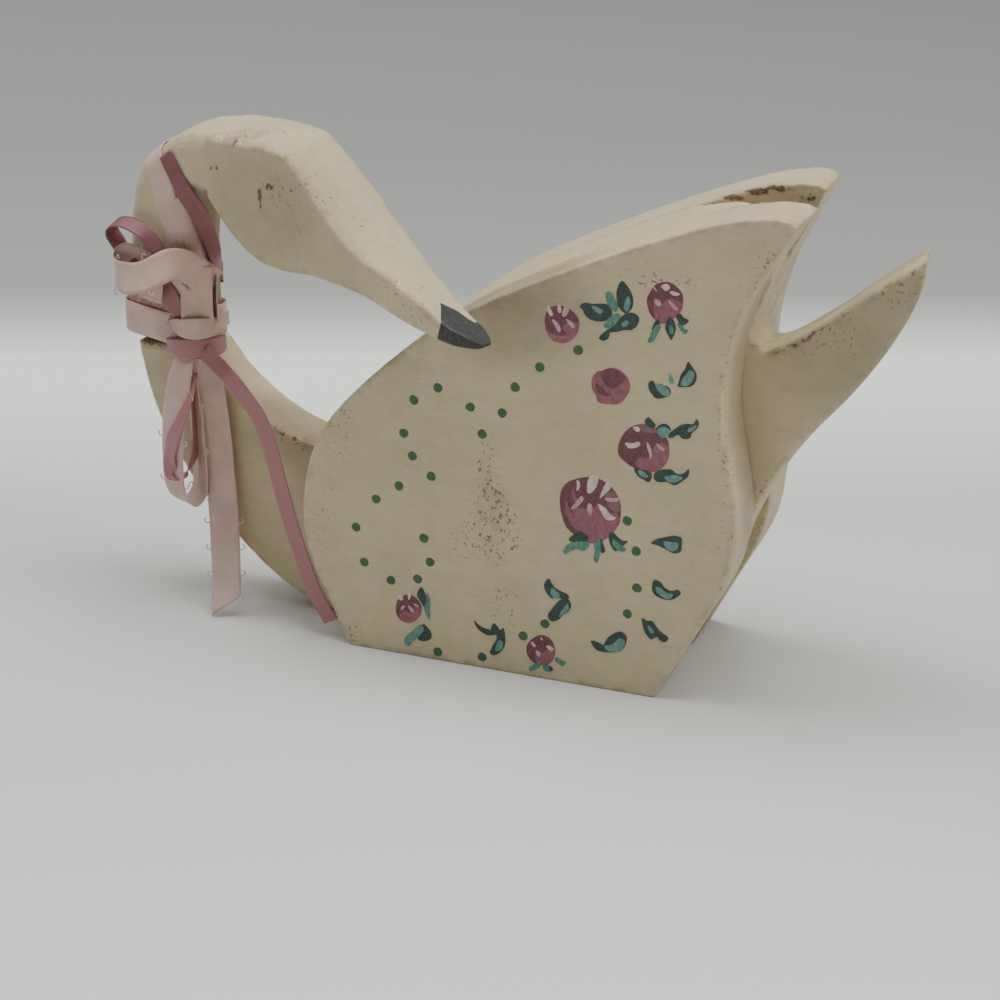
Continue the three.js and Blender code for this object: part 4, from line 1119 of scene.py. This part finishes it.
    ("teal", 30.7, 15.3, 31.5, 14.8, 31.9, 13.8, 31.1, 13.9),
    ("bottle", 19.3, 9.9, 20.5, 9.9, 21.8, 9.5, 22.5, 10.9, 23.7, 12.1, 25.3, 12.9, 26.4, 12.2, 26.4,
     10.7, 25.6, 9.1, 24.6, 8.5, 23.4, 8.2, 21.8, 8, 20.3, 8.3),
    ("teal", 22, 9.3, 23.6, 10, 25.2, 11.5, 26.2, 11.1, 25.6, 9.3, 24.6, 8.5, 22.8, 8.4),
    ("bottle", 10, 21.2, 10.6, 21.6, 11.2, 20.6, 11.8, 19.9, 13.2, 19.3, 14.5, 18.8, 14.7, 18.2, 13.5,
     17.8, 12.2, 18, 11.2, 17.6, 10.2, 18.5, 9.6, 19.9),
    ("teal", 11.2, 19.8, 12.2, 19.3, 12.9, 18.3, 11.8, 17.7, 11, 18.5),
    ("bottle", 12.9, 17.5, 14.3, 18, 15.1, 17, 14.7, 15.5, 13.5, 14.4, 12.5, 13.2, 11.1, 12.7, 10.4,
     13.7, 11.2, 15.3),
    ("teal", 14.5, 16.9, 14.7, 15.9, 13.7, 14.7, 12.7, 13.9, 13.3, 15.4),
    ("bottle", -0.8, 10.2, -0.2, 9.7, 0.5, 8.9, 1.1, 9.5, 1.5, 8, 1.5, 5.9, 0.5, 4.1, -0.8, 3.3, -1.6,
     3.5, -1, 5.4, -0.2, 7.1, -0.6, 8.3, -1.4, 8.8),
    ("bottle", -5, 10.1, -4.2, 9.4, -2.9, 8.8, -1.4, 8.6, -0.2, 8.6, -0.2, 8, -1.9, 7.4, -3.3, 7.8,
     -4.4, 8.7),
    ("teal", 0.3, 6.7, 1.1, 6.4, 0.7, 4.8, -0.4, 4.2, -0.4, 5.3),
    ("bottle", -16.2, 15.4, -15.6, 14.6, -15, 13.2, -15, 11, -15.6, 11.2, -16.5, 12.5, -17.1, 13.5),
    ("leaf", -15, 14.3, -14.5, 13.5, -14.4, 11.4, -14.4, 9.2, -14.6, 8.5, -15.2, 9.7, -15.6, 11.2, -15,
     12.8),
    ("bottle", -15.9, 7.4, -15.1, 6.9, -14.2, 5.7, -14.2, 4.6, -15.3, 3.8, -16.6, 3.7, -17.2, 4.3,
     -16.4, 6),
    ("teal", -16.3, 7.1, -15.7, 6.3, -16.8, 4.6, -18.3, 3, -19, 2, -19.9, 2.5, -19.9, 3.6, -18.5, 5.2),
    ("leaf", 6.6, 1.7, 7.6, 2.8, 9.1, 3.5, 8.9, 2.6, 7.6, 1.5, 6.8, 1.1),
    ("leaf", 9.7, 3.2, 10.9, 3, 11.4, 2.2, 10.3, 1.6, 9.5, 2.3),
    ("leaf", 12.2, 5.2, 13.2, 4.7, 14.2, 4.4, 13.6, 3.5, 12.8, 3.8, 12, 4.3),
    ("bottle", 10.9, 3, 11.6, 2.2, 10.9, 1.9),
]
dots = [
    (-12.2, 57.6), (-17.2, 54.5), (-5.6, 54.6), (0.9, 54.3), (-3.2, 49.5), (3.5, 59.8), (8.4, 64.4),
    (15.9, 68.7), (-19.4, 47.4), (-17.7, 42.9), (-13.8, 39.3), (-20.6, 36.2), (-25.5, 32.8),
    (-30.0, 26.1), (-15.5, 26.0), (-28.4, 18.8), (-14.2, 21.1), (-22.7, 15.8), (-16.9, 17.0),
    (-12.8, 1.8), (-3.3, 2.4), (5.3, 8.5), (9.8, 11.9), (26.1, 36.1), (28.0, 30.2), (28.3, 22.6),
    (26.5, 16.9),
]


def craft_paint(name, first, second):
    """Thick acrylic paint, streaked by the brush and a little glossy."""
    made, shader, start = new_material(name + "_paint")
    place = start.node("ShaderNodeTexCoord", None, None, 3).stretched(1 / MM, 1 / MM, 1 / MM)
    streaks = place.stretched(1.1, 1, 0.6).grains(1.6, 4, 0.65)
    bump = start.node("ShaderNodeBump", None, {"Strength": 0.5, "Distance": 0.00012, "Height": streaks})
    colour = streaks.rise(0.38, 0.64).blend(first, second)
    feed(shader, Base_Color=colour, Roughness=0.35 + 0.2 * streaks, Normal=bump)
    return made


def stroke(points, face, layer):
    """A flat patch of paint on a wing's face, from a closed outline of (x, z) stops."""
    stops = np.array(points, float)
    closed = np.vstack([stops[-1], stops, stops[:2]])
    line = smooth_line(closed, STROKE_STEP, 0.5, 2)
    gaps = np.linalg.norm(line - stops[0], axis=1)
    half = len(line) // 2
    line = line[np.argmin(gaps[:half]) : half + np.argmin(gaps[half:])]
    count = len(line)
    away = 1 if face > 0 else -1
    base = np.stack([line[:, 0], np.full(count, face - away * STROKE_SUNK), line[:, 1]], 1)
    top = base.copy()
    top[:, 1] = face + away * STROKE_LIFT * (1 + layer)
    around = [(i, (i + 1) % count, (i + 1) % count + count, i + count) for i in range(count)]
    faces = [tuple(range(count))[::-1], tuple(range(count, 2 * count)), *around]
    if away > 0:
        faces = [face[::-1] for face in faces]
    return np.vstack([base, top]), faces


def dot(x, z, face, seed):
    """A dab of paint, nearly round."""
    stops = []
    for turn in np.linspace(0, 2 * math.pi, DOT_STOPS, endpoint=False):
        side, up = math.cos(turn), math.sin(turn)
        reach = DOT_RADIUS * (1 + 0.12 * noise.noise(Vector((side, up, seed * 3.7))))
        stops.append((x - reach * side, z + reach * up))
    return stroke(stops, face, 0)


def paint_wing(name, parts):
    """One piece for each paint, from (paint, mesh part) pairs."""
    for paint in PAINTS:
        chosen = [part for colour, part in parts if colour == paint]
        if chosen:
            piece = add_piece(f"{name}_{paint}", chosen, paints[paint])
            piece.data.polygons.foreach_set("use_smooth", [False] * len(piece.data.polygons))
            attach(piece, "root")


paints = {paint: craft_paint(paint, *colours) for paint, colours in PAINTS.items()}
left_parts = []
right_parts = []
for order, (paint, *numbers) in enumerate(strokes):
    stops = np.reshape(numbers, (-1, 2))
    left_parts.append((paint, stroke(stops, -WING_OUTER, LAYER_STEP * order)))
    middle = stops.mean(axis=0)
    if np.all((middle > RIGHT_LOW) & (middle < RIGHT_HIGH)):
        right_parts.append((paint, stroke(stops - RIGHT_SHIFT, WING_OUTER, LAYER_STEP * order)))
for k, (x, z) in enumerate(dots):
    left_parts.append(("dot", dot(x, z, -WING_OUTER, k)))
    if k < RIGHT_DOTS:
        right_parts.append(("dot", dot(x, z - RIGHT_DOT_DROP, WING_OUTER, k + 40)))
paint_wing("left_flowers", left_parts)
paint_wing("right_flowers", right_parts)


# Stage
# A pale matt floor whose tone changes with the distance from the camera, soft lamps on both sides and
# above, and a weak fill from the front. The floor's tone holds painted light: painted shade round the
# figurine and a painted bright band before it turns grey far behind.
# Floor tone by depth, with painted light in it: lighter in front, painted shade round the figurine, a
# painted bright band, then grey.
FLOOR_TONE_AND_LIGHT = [
    (0, 0.86), (0.12, 0.70), (0.275, 0.67), (0.3625, 0.96), (0.394, 0.97), (0.4375, 0.58), (0.469, 0.385),
    (0.69, 0.34), (1, 0.37),
]
FLOOR_START = 0.15
FLOOR_DEPTH = 0.8
FLOOR_HALF = 3.0
FLOOR_DROP = 0.00005
LAMPS = [
    ("right", (0.75, 0, 0.95), 0.04, 0.8, 7.2), ("left", (-0.75, 0, 0.95), 0.04, 0.8, 7.6),
    ("ceiling", (0.05, 0.05, 1.3), 0.04, 0.8, 11.5), ("front", (-0.3, -1.2, 0.3), 0.05, 0.9, 1.1),
]
DAYLIGHT = (1.0, 0.995, 0.98)
ROOM = (0.85, 0.87, 0.88, 1)
ROOM_STRENGTH = 0.02
floor_mesh = bpy.data.meshes.new("floor")
corners = [(x * FLOOR_HALF, y * FLOOR_HALF, 0) for x, y in ((-1, -1), (1, -1), (1, 1), (-1, 1))]
floor_mesh.from_pydata(corners, [], [(0, 1, 2, 3)])
floor = bpy.data.objects.new("floor", floor_mesh)
floor.location.z = -FLOOR_DROP
bpy.context.collection.objects.link(floor)
floor_material, floor_shader, start = new_material("pale_floor")
x, y, _ = start.node("ShaderNodeTexCoord", None, None, 3).parts()
depth = (y * math.cos(CAMERA_TURN) - x * math.sin(CAMERA_TURN) + FLOOR_START) / FLOOR_DEPTH
tones_and_light = [(place, (0.99 * tone, tone, 0.975 * tone)) for place, tone in FLOOR_TONE_AND_LIGHT]
ramp = start.node("ShaderNodeValToRGB", {"stops": tones_and_light}, {0: depth})
feed(floor_shader, Base_Color=ramp, Roughness=0.8)
floor_mesh.materials.append(floor_material)

for name, place, aim, size, power in LAMPS:
    light = bpy.data.lights.new(name, "AREA")
    light.size = size
    light.energy = power
    light.color = DAYLIGHT
    lamp = bpy.data.objects.new(name, light)
    lamp.location = place
    lamp.rotation_euler = (Vector((0, 0, aim)) - Vector(place)).to_track_quat("-Z", "Y").to_euler()
    bpy.context.collection.objects.link(lamp)
world = bpy.data.worlds.new("room")
world.use_nodes = True
world.node_tree.nodes["Background"].inputs[0].default_value = ROOM
world.node_tree.nodes["Background"].inputs[1].default_value = ROOM_STRENGTH
bpy.context.scene.world = world
